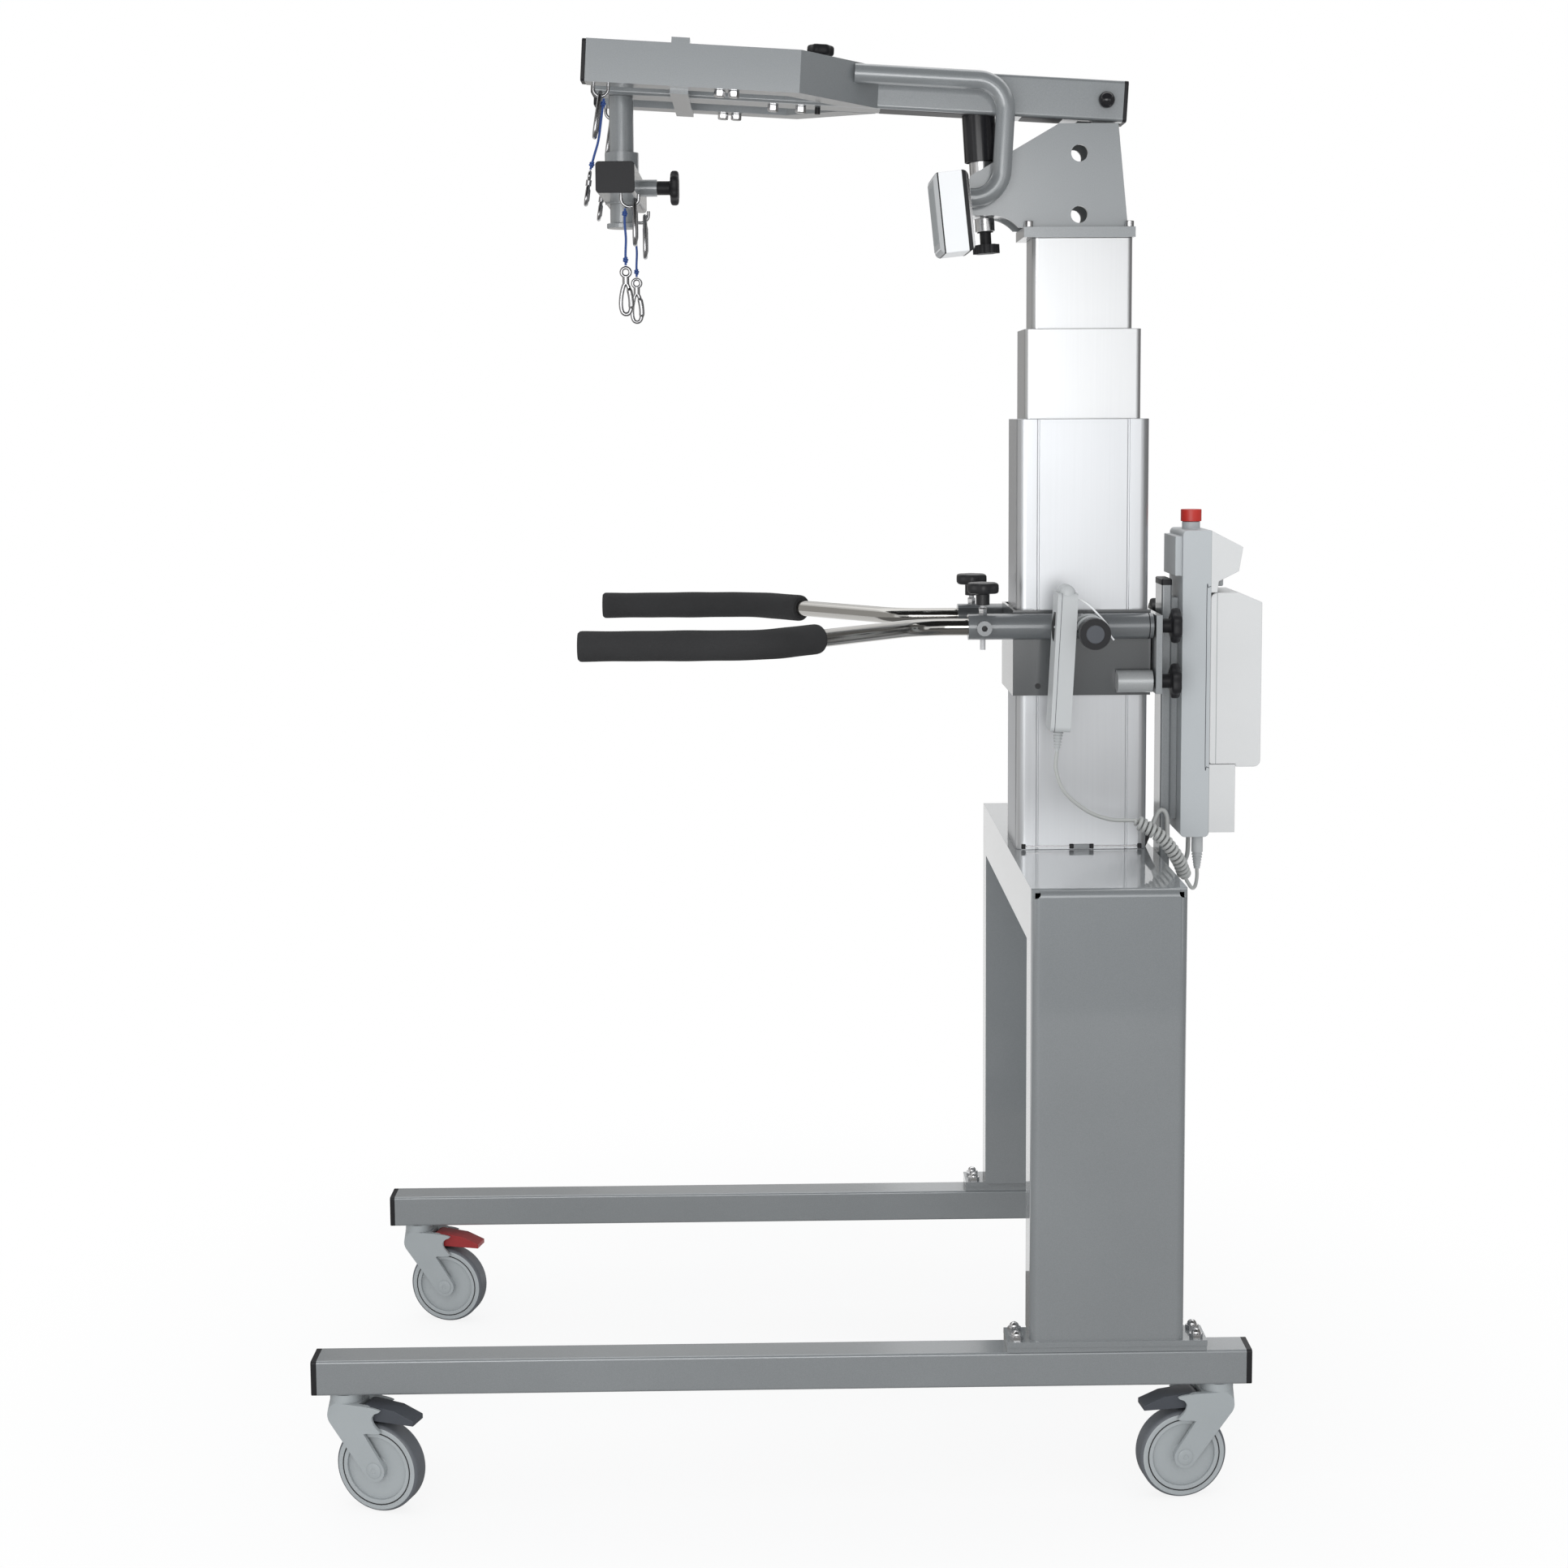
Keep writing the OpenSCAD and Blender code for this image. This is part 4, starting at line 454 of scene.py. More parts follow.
def finish(name, colour, rough, metal=0.0, fleck=(900, 0.1), cloud=(7, 0.08), relief=0.00008,
           stretch=(1, 1, 1), paint=None, shine=0.06, **constants):
    """A finish whose colour is multiplied by 1 + fleck + cloud noise, and whose relief is the fleck.

    The colour is one colour for the whole piece, or comes from the paint function at each place.
    """
    material = bpy.data.materials.new(name)
    material.use_nodes = True
    shader = material.node_tree.nodes["Principled BSDF"]
    wire = Wire(material.node_tree)
    where = wire.node("TexCoord", out=3)
    drawn = wire.node("Mapping", sockets={"Vector": where, "Scale": stretch})
    fine = wire.node("TexNoise", sockets={"Vector": drawn, "Scale": fleck[0], "Detail": 2.0})
    broad = wire.node("TexNoise", sockets={"Vector": where, "Scale": cloud[0], "Detail": 3.0})
    level = (fine - 0.5) * fleck[1] * 2 + (broad - 0.5) * cloud[1] * 2 + 1.0
    ground = (*colour, 1) if paint is None else paint(where)
    tint = wire.node("Mix", {"data_type": "RGBA", "blend_type": "MULTIPLY"},
                     {0: 1.0, 6: ground, 7: level}, out=2)
    gloss = (broad - 0.5) * shine * 2 + (fine - 0.5) * shine + rough
    bump = wire.node("Bump", sockets={"Strength": 0.6, "Distance": relief, "Height": fine})
    for socket, source in (("Base Color", tint), ("Roughness", gloss), ("Normal", bump)):
        material.node_tree.links.new(source.socket, shader.inputs[socket])
    for socket, value in {"Metallic": metal, **constants}.items():
        shader.inputs[socket].default_value = value
    return material


def finishes(rows):
    """A finish for each row: its name, colour, roughness and what else differs from the recipe."""
    made = {name: finish(name, colour, rough, **rest) for name, (colour, rough, rest) in rows.items()}
    print("finishes:", list(made))
    return made


def axis_of(where, k):
    """One coordinate of the place on the piece."""
    return where.node("SeparateXYZ", sockets={0: where}, out=k)


print("recipe ready")

# %% [markdown]
# The frame's tubes carry a metallic grey powder coat, which is slightly grainy. The column is brushed
# aluminium, drawn out along its height, so its fleck is stretched along Z. Chrome and zinc are bare
# metal with little grain. The plastics differ in colour and in how dull they are.

# %% Metals and coats


# The handrail's clamp plates get a deep grey that is painted shade of their recess between the sockets, and
# its stubs get a pale grey that is painted light.
PLATE_SHADE, TUBE_GREY = (0.068, 0.073, 0.077, 1), (0.165, 0.176, 0.184, 1)
STUB_PAINTED_LIGHT, RING_BLACK = (0.440, 0.455, 0.462, 1), (0.02, 0.02, 0.022, 1)
PLATES_Y, STUBS_TOP = 0.0815, 1.170
RING_Y, RING_REACH, HANGER_X = -0.2106, 0.024, 0.417
RAIL_HEIGHT = 1209  # mm, the middle of the handlebars, their sockets and the hanger bar


def rail_light_and_shade(where):
    """Painted shade on the clamp's recessed plates, a darker grey than the frame's coat on its tubes, painted
    light on the pale stubs, and a black ring on the hanger bar.
    """
    x, y, z = (axis_of(where, k) for k in range(3))
    tubes = 1.0 - y.near(0.0, PLATES_Y)
    stubs = tubes * (z < STUBS_TOP)
    greys = stubs.mix(tubes.mix(PLATE_SHADE, TUBE_GREY), STUB_PAINTED_LIGHT)
    ring = (y < RING_Y) * x.near(HANGER_X, RING_REACH) * z.near(RAIL_HEIGHT * MM, RING_REACH)
    return ring.mix(greys, RING_BLACK)


GRAIN = {"metal": 0.35, "fleck": (850, 0.16), "cloud": (5, 0.05), "relief": 0.00012}
LACQUER = {"Coat Weight": 1.0, "Coat Roughness": 0.16, "Coat IOR": 1.7}
BRUSHED = {"metal": 0.9, "fleck": (420, 0.03), "cloud": (4, 0.02), "relief": 0.00002,
           "stretch": (1, 1, 0.012)}
FINISH = finishes({
    "grey_coat": ((0.260, 0.276, 0.286), 0.44, GRAIN | LACQUER),
    "portal_coat": ((0.250, 0.266, 0.276), 0.44, GRAIN | LACQUER | {"Coat Roughness": 0.05, "Coat IOR": 1.9}),
    # This coat carries painted shade on the clamp plates and painted light on the stubs.
    "rail_coat_light_and_shade": (None, 0.44, GRAIN | LACQUER | {"paint": rail_light_and_shade}),
    "anodised": ((0.66, 0.67, 0.68), 0.34, BRUSHED),
    "sleeve_anodised": ((0.64, 0.655, 0.675), 0.36, BRUSHED),
    "bright_zinc": ((0.72, 0.72, 0.73), 0.24, {"metal": 1.0, "fleck": (500, 0.05)}),
    "hook_steel": ((0.45, 0.45, 0.46), 0.20, {"metal": 1.0, "fleck": (600, 0.06)}),
    "chrome_bar": ((0.47, 0.46, 0.44), 0.12,
                   {"metal": 1.0, "fleck": (300, 0.02), "relief": 0.00001, "shine": 0.02}),
})

# %% Plastics, foam and rubber
FINISH |= finishes({
    "black_plastic": ((0.016, 0.016, 0.018), 0.46,
                      {"fleck": (1300, 0.3), "relief": 0.00010, "Specular IOR Level": 0.3}),
    "gloss_black": ((0.014, 0.014, 0.016), 0.16, {"relief": 0.00001, "shine": 0.03}),
    "castor_plastic": ((0.335, 0.36, 0.37), 0.42, {"fleck": (1200, 0.06)}),
    "pedal_grey": ((0.060, 0.066, 0.078), 0.42, {"fleck": (1200, 0.12)}),
    "pedal_red": ((0.30, 0.022, 0.024), 0.40, {"fleck": (1200, 0.08)}),
    "white_case": ((0.80, 0.81, 0.82), 0.38, {"fleck": (1200, 0.03), "cloud": (9, 0.03)}),
    "signal_red": ((0.52, 0.030, 0.022), 0.36, {"fleck": (1200, 0.06)}),
    "drive_black": ((0.020, 0.020, 0.022), 0.5, {"fleck": (1100, 0.3)}),
    "foam_grip": ((0.031, 0.031, 0.032), 0.80,
                  {"fleck": (1500, 0.5), "cloud": (14, 0.2), "relief": 0.00035, "Specular IOR Level": 0.2}),
    "grey_cord": ((0.42, 0.43, 0.42), 0.5, {"fleck": (1500, 0.06)}),
})

# %% [markdown]
# The control box is moulded in two greys that meet behind the hood, with a shadow line between the
# halves. A second material could be laid on chosen faces, but a mask on the X coordinate is exact and
# needs no face list. The blue cord is braided: two sets of slanting strands cross on its UV map.

# %% Two-tone case and braid
BACK_GREY, FRONT_GREY, SEAM_GREY = (0.46, 0.485, 0.50, 1), (0.64, 0.645, 0.645, 1), (0.36, 0.375, 0.38, 1)
KNOB_BLACK, STUD_ZINC = (0.016, 0.016, 0.018, 1), (0.55, 0.55, 0.56, 1)
CASE_SEAM, TRAY_SEAM, STUD_TOP = 0.6125, 0.6225, 1.241


def case_paint(where):
    """Back grey up to the seam's X, front grey after it, and a dark line where they meet."""
    x = axis_of(where, 0)
    halves = (x > CASE_SEAM).mix(BACK_GREY, FRONT_GREY)
    return x.near(CASE_SEAM, 0.0004).mix(halves, SEAM_GREY)


def battery_paint(where):
    """Front grey with a dark line round the pack where its cover meets its tray."""
    return axis_of(where, 0).near(TRAY_SEAM, 0.0006).mix(FRONT_GREY, SEAM_GREY)


def braid_paint(where):
    """Blue strands that cross: sines of (length + turn) and (length - turn) pick light or dark."""
    spot = where.node("TexCoord", out=2)
    u, v = axis_of(spot, 0), axis_of(spot, 1)
    one = where.math("SINE", u * 2600 + v * 4 * np.pi, 0.0)
    two = where.math("SINE", u * 2600 - v * 4 * np.pi, 0.0)
    strand = where.math("MAXIMUM", one, two) * 0.5 + 0.5
    return strand.mix((0.010, 0.022, 0.10, 1), (0.034, 0.090, 0.32, 1))


def knob_paint(where):
    """Black knob, and bright zinc on the stud below its hub."""
    return (axis_of(where, 2) < STUD_TOP).mix(KNOB_BLACK, STUD_ZINC)


MOULDED = {"fleck": (1300, 0.04), "cloud": (8, 0.03)}
FINISH |= finishes({
    "studded_black": (None, 0.42, {"fleck": (1300, 0.2), "paint": knob_paint}),
    "control_grey": ((0.46, 0.475, 0.48), 0.42, MOULDED),
    "bezel_grey": ((0.42, 0.43, 0.435), 0.5, {"fleck": (1300, 0.05), "Specular IOR Level": 0.2}),
    "control_case": (None, 0.42, MOULDED | {"paint": case_paint}),
    "battery_case": (None, 0.40, MOULDED | {"paint": battery_paint}),
    "blue_cord": (None, 0.7, {"fleck": (2500, 0.15), "paint": braid_paint}),
})

# %% [markdown]
# ## The CAD pieces
# The rigid pieces already have their real shape, so they keep their mesh and get three things: their
# loose triangles are merged, flat faces are cleaned, and sharp edges are broken by a small bevel that
# catches the light. Normals weighted by face area keep the flats flat beside their bevels. These are all
# modifiers, so the CAD mesh keeps its own points.

# %% Which finish goes where
COATS = {
    "portal_coat": ["portal_frame"],
    "grey_coat": ["base_legs", "head_bracket", "boom", "yoke", "hanging_post", "spreader_bar",
                  "handrail_back_plate", "control_rail"],
    "rail_coat_light_and_shade": ["handrail_frame"],
    "anodised": ["column_middle", "column_inner"],
    "sleeve_anodised": ["column_outer"],
    "bright_zinc": ["portal_nuts", "head_bolts", "strut_rod"],
    "black_plastic": ["leg_end_caps", "boom_caps", "spreader_caps", "strut_knob", "handset_rocker"],
    "gloss_black": ["strut_barrel", "boom_pivot_pin"],
    "drive_black": ["lift_drive"],
    "white_case": ["display_box"],
    "control_grey": ["handset", "handset_plug"],
    "control_case": ["control_box"],
    "battery_case": ["battery_pack"],
    "signal_red": ["estop_button"],
    "castor_plastic": [f"{s}_{e}_fork" for s in SIDES for e in ("front", "rear")],
    "pedal_grey": ["near_front_pedal", "near_rear_pedal", "far_rear_pedal"],
    "pedal_red": ["far_front_pedal"],
}
FINE_BEVEL = 0.8  # mm, on pieces that the next table leaves out
BEVELS = {"base_legs": 2.5, "boom": 2.5, "yoke": 1.5, "portal_frame": 1.2, "control_box": 3.0,
          "battery_pack": 5.0, "display_box": 2.5, "handset": 5.0, "estop_button": 1.6, "strut_knob": 4.5}


def dress(name, finish_name, width):
    """Merge the node's triangles, clean its flats, break its edges, and give it its finish."""
    piece = nodes[name]
    piece.data.materials.clear()
    piece.data.materials.append(FINISH[finish_name])
    piece.data.polygons.foreach_set("use_smooth", np.ones(len(piece.data.polygons), bool))
    weld = piece.modifiers.new("merge", "WELD")
    weld.merge_threshold = 0.00001
    flats = piece.modifiers.new("flats", "DECIMATE")
    flats.decimate_type, flats.angle_limit = "DISSOLVE", np.radians(0.5)
    edge = piece.modifiers.new("edge", "BEVEL")
    edge.width, edge.segments, edge.limit_method = width * MM, 3, "ANGLE"
    edge.angle_limit, edge.use_clamp_overlap = np.radians(34), True
    shade = piece.modifiers.new("shade", "WEIGHTED_NORMAL")
    shade.weight, shade.keep_sharp = 50, False


for finish_name, names in COATS.items():
    for name in names:
        dress(name, finish_name, BEVELS.get(name, FINE_BEVEL))
print("dressed CAD nodes:", sum(map(len, COATS.values())))

# %% [markdown]
# ## Finishes on the new pieces
# The cords were made before there were finishes, and now they get theirs. Every piece after this point is
# made, finished and hung on its body by one function.

# %% Cord finishes
for piece in (handset_cord, motor_lead):
    piece.data.materials.append(FINISH["grey_cord"])
for piece in blue_cords:
    piece.data.materials.append(FINISH["blue_cord"])


def add(name, finish_name, body, *grids, slot=None):
    """A new piece from grids of points, with its finish and the body it rides on.

    The slot argument is not used.
    """
    piece = skin(name, *grids)
    piece.data.materials.append(FINISH[finish_name])
    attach(piece, body)
    return piece


print("finished cords:", 2 + len(blue_cords))

# %% [markdown]
# ## Handlebars and foam grips
# Each handlebar is one chromed tube with two bends, and a foam sleeve covers its front run. The tube is
# a circle carried along straight runs and arcs. The foam is the same path with a fatter circle, whose
# radius swells and dips a little, and which rounds over at its ends.

# %% Bent tubes


def bent_line(points, radius, step=4 * MM):
    """Straight runs joined by arcs of one radius: each corner is cut back by radius * tan(half turn)."""
    p = np.asarray(points, float)
    runs = [p[:1]]
    for a, b, c in zip(p[:-2], p[1:-1], p[2:]):
        one, two = unit(a - b), unit(c - b)
        half = np.arccos(np.clip(-one @ two, -1, 1)) / 2
        centre = b + unit(one + two) * radius / np.cos(half)
        start = b + one * radius * np.tan(half) - centre
        square = -one * radius
        turn = np.linspace(0, 2 * half, 14)[:, None]
        runs.append(centre + np.cos(turn) * start + np.sin(turn) * square)
    return even_steps(np.vstack([*runs, p[-1:]]), step)


BAR = MM * np.array([
    [445, -95, RAIL_HEIGHT], [174, -95, RAIL_HEIGHT], [-53, -345, RAIL_HEIGHT], [-301, -345, RAIL_HEIGHT]])
TIP = MM * np.array([-305, -345, RAIL_HEIGHT])
BAR_RADIUS, BEND_RADIUS = 12.5 * MM, 90 * MM
BAR_PUSHED = {"near": 0, "far": -15 * MM}  # the far bar stands a little further forward
FOAM_RADIUS, FOAM_BACK = 20.9 * MM, 15.5 * MM
FOAM_END, FOAM_EDGE = 6 * MM, 3 * MM  # length and depth of the rounding at the foam's ends
for side, sign in SIDES.items():
    mirror = np.array([1, -sign, 1])
    shift = np.array([BAR_PUSHED[side], 0, 0])
    line = bent_line(BAR, BEND_RADIUS) * mirror + shift
    bar = add(f"{side}_bar_tube", "chrome_bar", f"{side}_handlebar", tube(line, BAR_RADIUS, 28))
    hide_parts(f"{side}_handlebar")
    full = bent_line([*BAR[:-1], TIP], BEND_RADIUS) * mirror + shift
    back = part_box(f"{side}_grip")[1][0] - FOAM_BACK
    full = even_steps(full[full[:, 0] <= back], 3 * MM)
    s = np.linspace(0, run_length(full), len(full))
    end = np.minimum(s, s[-1] - s) / FOAM_END
    swell = FOAM_RADIUS + 0.25 * MM * np.sin(s * 37) + 0.15 * MM * np.sin(s * 91 + 1)
    reach = swell - FOAM_EDGE * (1 - np.sqrt(1 - np.clip(1 - end, 0, 1) ** 2))
    foam = tube(full, reach, 36)
    caps = [full[:1, None] + (foam[:1] - full[:1, None]) * k for k in (0.0, 0.5)]
    tail_caps = [full[-1:, None] + (foam[-1:] - full[-1:, None]) * k for k in (0.5, 0.0)]
    grip = add(f"{side}_foam", "foam_grip", f"{side}_handlebar",
               np.concatenate([*caps, foam, *tail_caps]))
    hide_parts(f"{side}_grip")
    print(side, "bar", round(run_length(line), 3), "m, foam", round(run_length(full), 3), "m")

# %% [markdown]
# ## Hooks of the harness
# Small bright fittings join the cords: a U bolt in the bar above, a carabiner through it, and a snap hook
# below. All are bent wire, so each is a tube along its own line. A carabiner is a pear: an oval whose
# width grows towards one end. Its gate is a fatter sleeve on one straight side.

# %% Wire shapes


def staple_line(width, drop, wire):
    """Down, a half circle, and up again: the middle line of a U bolt that hangs below z = 0."""
    r = (width - wire) / 2
    a = np.linspace(np.pi, 2 * np.pi, 24)
    arc = np.stack([r * np.cos(a), 0 * a, r * np.sin(a) - drop + width / 2], 1)
    return np.vstack([[-r, 0, 0.2], arc, [r, 0, 0.2]])


def pear_line(length, width, wire, wide_end=0.35, flat=0.72):
    """Closed pear: height cosine, half width sine^flat * (1 - wide_end * cosine) over its greatest."""
    a = np.linspace(0, 2 * np.pi, 65)
    out = np.sign(np.sin(a)) * np.abs(np.sin(a)) ** flat * (1 - wide_end * np.cos(a))
    out = out / out.max() * (width - wire) / 2
    return np.stack([0 * a, out, (np.cos(a) - 1) * (length - wire) / 2 - wire / 2], 1)


def gate(line, first, last, wire):
    """Sleeve over part of a line: a fatter tube that tapers at both ends."""
    run = even_steps(line[first:last], 1.0)
    share = np.linspace(0, 1, len(run))
    return run, wire / 2 + 1.1 * np.clip(np.minimum(share, 1 - share) * 9, 0.1, 1)


def wires(place, sign, lines):
    """Grids of several bent wires, each a line in mm, a wire radius in mm and whether it closes."""
    return [tube(place(line, sign), np.asarray(r) * MM, 14, loop) for line, r, loop in lines]


def snap_hook(length, width, wire, plane=(0, 1, 2)):
    """Swivel eye, neck and pear-shaped hook below it, with its gate."""
    a = np.linspace(0, 2 * np.pi, 33)
    eye_r = width * 0.30
    eye = np.stack([0 * a, eye_r * np.sin(a), eye_r * np.cos(a) - eye_r - wire / 2], 1)
    neck = np.array([[0, 0, -2 * eye_r - wire / 2], [0, 0, -2 * eye_r - wire * 2.2]])
    hook = pear_line(length - 2 * eye_r - wire * 1.6, width, wire, 0.3, 0.8) - [0, 0, 2 * eye_r + wire * 1.6]
    run, fat = gate(hook, 8, 24, wire)
    turn = list(plane)
    return [(eye[:, turn], wire * 0.42, True), (even_steps(neck, 0.8)[:, turn], wire * 0.8, False),
            (hook[:, turn], wire / 2, True), (run[:, turn], fat, False)]


print("wire shapes ready")

# %% Harness hooks


def boom_place(points):
    """Points in mm from the boom's pivot, along its tilt, in the frame's metres."""
    return MM * (np.asarray(points, float) @ BOOM_AXES + [455, 0, 1978])


def bolt_place(points, side):
    """Points in mm below the yoke bar's end, along the boom's tilt."""
    return boom_place(np.asarray(points, float) + [-733, side * 126, -30])


for side, sign in SIDES.items():
    pear = pear_line(68, 24, 5)
    run, fat = gate(pear, 10, 27, 6.2)
    drop = [7, 0, -4.6]
    upper_snap = [(line - [0, 0, 112], r, closed) for line, r, closed in snap_hook(52, 20, 5)]
    lower_snap = [(line + [-7, 0, -100], r, closed)
                  for line, r, closed in snap_hook(72, 21, 6.2, (1, 0, 2))]
    fittings = {  # the body it rides on, its place, and its wires
        "yoke_bolt": ("boom", bolt_place, [(staple_line(26, 20, 5), 2.5, False)]),
        "yoke_carabiner": ("boom", yoke_place, [(pear, 3.1, True), (run, fat, False)]),
        "yoke_snap": ("boom", yoke_place, upper_snap),
        "spreader_shackle": ("spreader", spreader_place, [(staple_line(30, 20, 5), 2.5, False)]),
        "spreader_carabiner": ("spreader", spreader_place,
                               [(pear + drop, 3.1, True), (run + drop, fat, False)]),
        "spreader_snap": ("spreader", spreader_place, lower_snap),
    }
    for name, (body, place, lines) in fittings.items():
        piece = add(f"{side}_{name}", "hook_steel", body, *wires(place, sign, lines), slot="bright_zinc")
        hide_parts(name.split("_")[0] + "_hooks")

# %% [markdown]
# ## Moulded trim
# The display, the handset and the control box are moulded cases with thin covers, gaskets and keys. Each
# of these is a slab: a rounded rectangle carried through a few heights, drawn in a little at the edges.

# %% Slabs


def slab(half, corner, layers, origin, axes):
    """Rounded rectangle through layers of (height, inset).

    The outline is four corner arcs of radius corner about (half - corner). A layer moves it in by its
    inset and up by its height. Axes are the slab's two sides and its height, in the frame.
    """
    a = np.linspace(0, 2 * np.pi, 32, endpoint=False) + np.pi / 32
    sx, sy = np.sign(np.cos(a)), np.sign(np.sin(a))
    height, inset = np.array(layers, float).T
    x = sx * (half[0] - corner) + (corner - inset[:, None]).clip(0.0001) * np.cos(a)
    y = sy * (half[1] - corner) + (corner - inset[:, None]).clip(0.0001) * np.sin(a)
    z = np.broadcast_to(height[:, None], x.shape)
    return np.asarray(origin) + np.stack([x, y, z], -1) @ np.asarray(axes)


def extent(name, axes):
    """Lowest and highest reach of a CAD node along each axis."""
    flat = np.empty(len(nodes[name].data.vertices) * 3, np.float32)
    nodes[name].data.vertices.foreach_get("co", flat)
    along = flat.reshape(-1, 3) @ np.asarray(axes, float).T
    return along.min(0), along.max(0)


def lathe(profile, origin, axis, sides=36):
    """Turned shape: each (radius, height) of the profile becomes a ring about the axis."""
    axis = unit(axis)
    one = unit(np.cross(axis, np.eye(3)[np.abs(axis).argmin()]))
    a = np.arange(sides) * 2 * np.pi / sides
    ring = np.cos(a)[:, None] * one + np.sin(a)[:, None] * np.cross(axis, one)
    radius, height = np.array(profile, float).T * MM
    return np.asarray(origin) + radius[:, None, None] * ring + height[:, None, None] * axis


print("slab and lathe ready")

# %% [markdown]
# ## Star knobs
# Black six-lobed knobs draw the clamps tight: a soft-edged star on a round hub, with a stud below. A
# cylinder with six more round it would have hard rims. A turned profile whose radius follows a cosine six
# times round gives the moulded look in one surface. The knob under the strut keeps its CAD shape.

# %% Knobs
BOOM_KNOB_RISE = 4  # mm that the boom's knob stands higher on its hub than in the CAD
KNOBS = {  # the way its top faces; diameter, height, stud, free stud under the hub and star thickness in mm
    "boom_knob": (BOOM_AXES[2], 40, 26, 8, 0, 15),
    "spreader_knob": ((1, 0, 0), 51, 32, 8, 0, 12.5),
    **{f"{s}_{k}_clamp_knob": ((1, 0, 0), 52, 29, 10, 0, 14) for s in SIDES for k in ("upper", "lower")},
    **{f"{s}_handle_knob": ((0, 0, 1), 50, 46, 8, 13, 16) for s in SIDES},
}
LOBES, LOBE_DEPTH, HUB_SHARE, STAR_SIDES = 6, 0.065, 0.40, 72


def star(profile, origin, axis):
    """Turned shape whose radius is multiplied by 1 - weight * depth * (1 - cos(lobes * turn))."""
    profile = np.array(profile, float)
    grid = lathe(profile[:, :2], origin, axis, STAR_SIDES)
    middle = grid.mean(1, keepdims=True)
    turn = np.arange(STAR_SIDES) * 2 * np.pi / STAR_SIDES
    wave = 1 - profile[:, 2:] * LOBE_DEPTH * (1 - np.cos(LOBES * turn))
    return middle + (grid - middle) * wave[..., None]


for name, (axis, across, tall, stud, free, thick) in KNOBS.items():
    axis = np.asarray(axis, float)
    side = np.cross(axis, [0, 1, 0])
    axes = np.array([side, np.cross(axis, side), axis])
    low, high = extent(name, axes)
    seat = np.array([*(low + high)[:2] / 2, high[2] - tall * MM]) @ axes
    foot = (low[2] - high[2]) / MM + tall
    tall += BOOM_KNOB_RISE if name == "boom_knob" else 0
    r, hub, rim = across / 2, across * HUB_SHARE / 2, tall - thick
    outline = [(stud / 2, foot, 0), (stud / 2, free, 0), (hub - 0.6, free, 0),
               (hub, free + 0.6, 0), (hub, rim - 1.5, 0), (hub + 1.5, rim, 0), (0.80 * r, rim, 1),
               (0.93 * r, rim + 1.0, 1), (0.99 * r, rim + 3.2, 1), (r, (rim + tall) / 2, 1),
               (0.99 * r, tall - 3.2, 1), (0.93 * r, tall - 1.0, 1), (0.80 * r, tall, 1), (0.3 * r, tall, 0)]
    finish_name = "studded_black" if "handle" in name else "black_plastic"
    knob = add(f"{name}_star", finish_name, name, star(outline, seat, axis), slot="black_plastic")
    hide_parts(name)
print("knobs:", len(KNOBS))

# %% [markdown]
# The display leans back a little on its arm. Its case is layered: a grey bezel with a pane, a black line,
# the white body, a black gasket and a thin bright plate behind. Each layer is a row of slab outlines a
# hair larger than the body that they wrap, and they follow its rounded top and bottom edges.

# %% Display
lean = np.radians(6)
out = np.array([-np.cos(lean), 0, -np.sin(lean)])
up = np.array([-np.sin(lean), 0, np.cos(lean)])
DISPLAY_AXES = np.array([np.cross(up, out), up, out])
low, high = extent("display_box", DISPLAY_AXES)
middle, half = (low + high) / 2, (high - low) / 2
CASE_ROUND, CASE_DEPTH = 9, 50  # mm, the rounding at the case's top and bottom edges, and its depth


def case_round(depth):
    """How far a layer at this depth in mm from the nearer face draws in: round - sqrt(round^2 - rest^2)."""
    rest = np.clip(CASE_ROUND - depth, 0, CASE_ROUND)
    return CASE_ROUND - np.sqrt(CASE_ROUND**2 - rest**2)


LAYERS = {  # finish, depths in mm behind the front, how proud, sides drawn in
    "display_bezel": ("bezel_grey", [5.5, 4, 2.6, 1.4, 0.6, 0.0, -0.4], 0.4, 0),
    "display_line": ("black_plastic", [7.6, 5.7], 0.3, 0),
    "display_gasket": ("black_plastic", [47.0, 45.5, 44, 42.5, 41], 0.3, 0),
    "display_plate": ("bright_zinc", [50.3, 49.7, 49.2, 48.2, 47.2], 0.5, 0),
    "display_glass": ("castor_plastic", [0.2, -0.7], 0.0, 8),
}
for name, (finish_name, depths, proud, inset) in LAYERS.items():
    rings = []
    for depth in depths:
        level = np.array([middle[0], middle[1], high[2] - depth * MM]) @ DISPLAY_AXES
        drawn = case_round(np.clip(min(depth, CASE_DEPTH - depth), 0, None)) + inset - proud
        sides = half[:2] - MM * np.array([inset - proud, drawn])
        rings.append(slab(sides, 0.0015, [(0, 0)], level, DISPLAY_AXES))
    slot = "control_grey" if finish_name == "bezel_grey" else finish_name
    add(name, finish_name, "boom", np.concatenate(rings), slot=slot)
print("display layers:", len(LAYERS), "case", np.round(half * 2000, 1), "mm")

# %% [markdown]
# ## Small trim on the column, sockets and handset
# Clips close the seam at the foot of the column, a dark line runs round each handlebar socket before the
# back plate, and a grey disc fills the end of the handset's hanger bar. Six-sided nuts stand on the sockets
# and under the yoke. The handset's cable boot is ribbed so that it can flex. Rings are circles carried
# round by the tube function.

# %% Trim


def at(x, y, z):
    """A place in mm, in the frame's metres."""
    return MM * np.array([x, y, z])


def hoop(centre, axis, radius, wire, sides=10):
    """A ring: a circle about an axis, with a round section."""
    rim = lathe([(radius, 0)], np.asarray(centre) * MM, axis, 48)[0]
    return tube(np.vstack([rim, rim[:1]]), wire * MM, sides, loop=True)


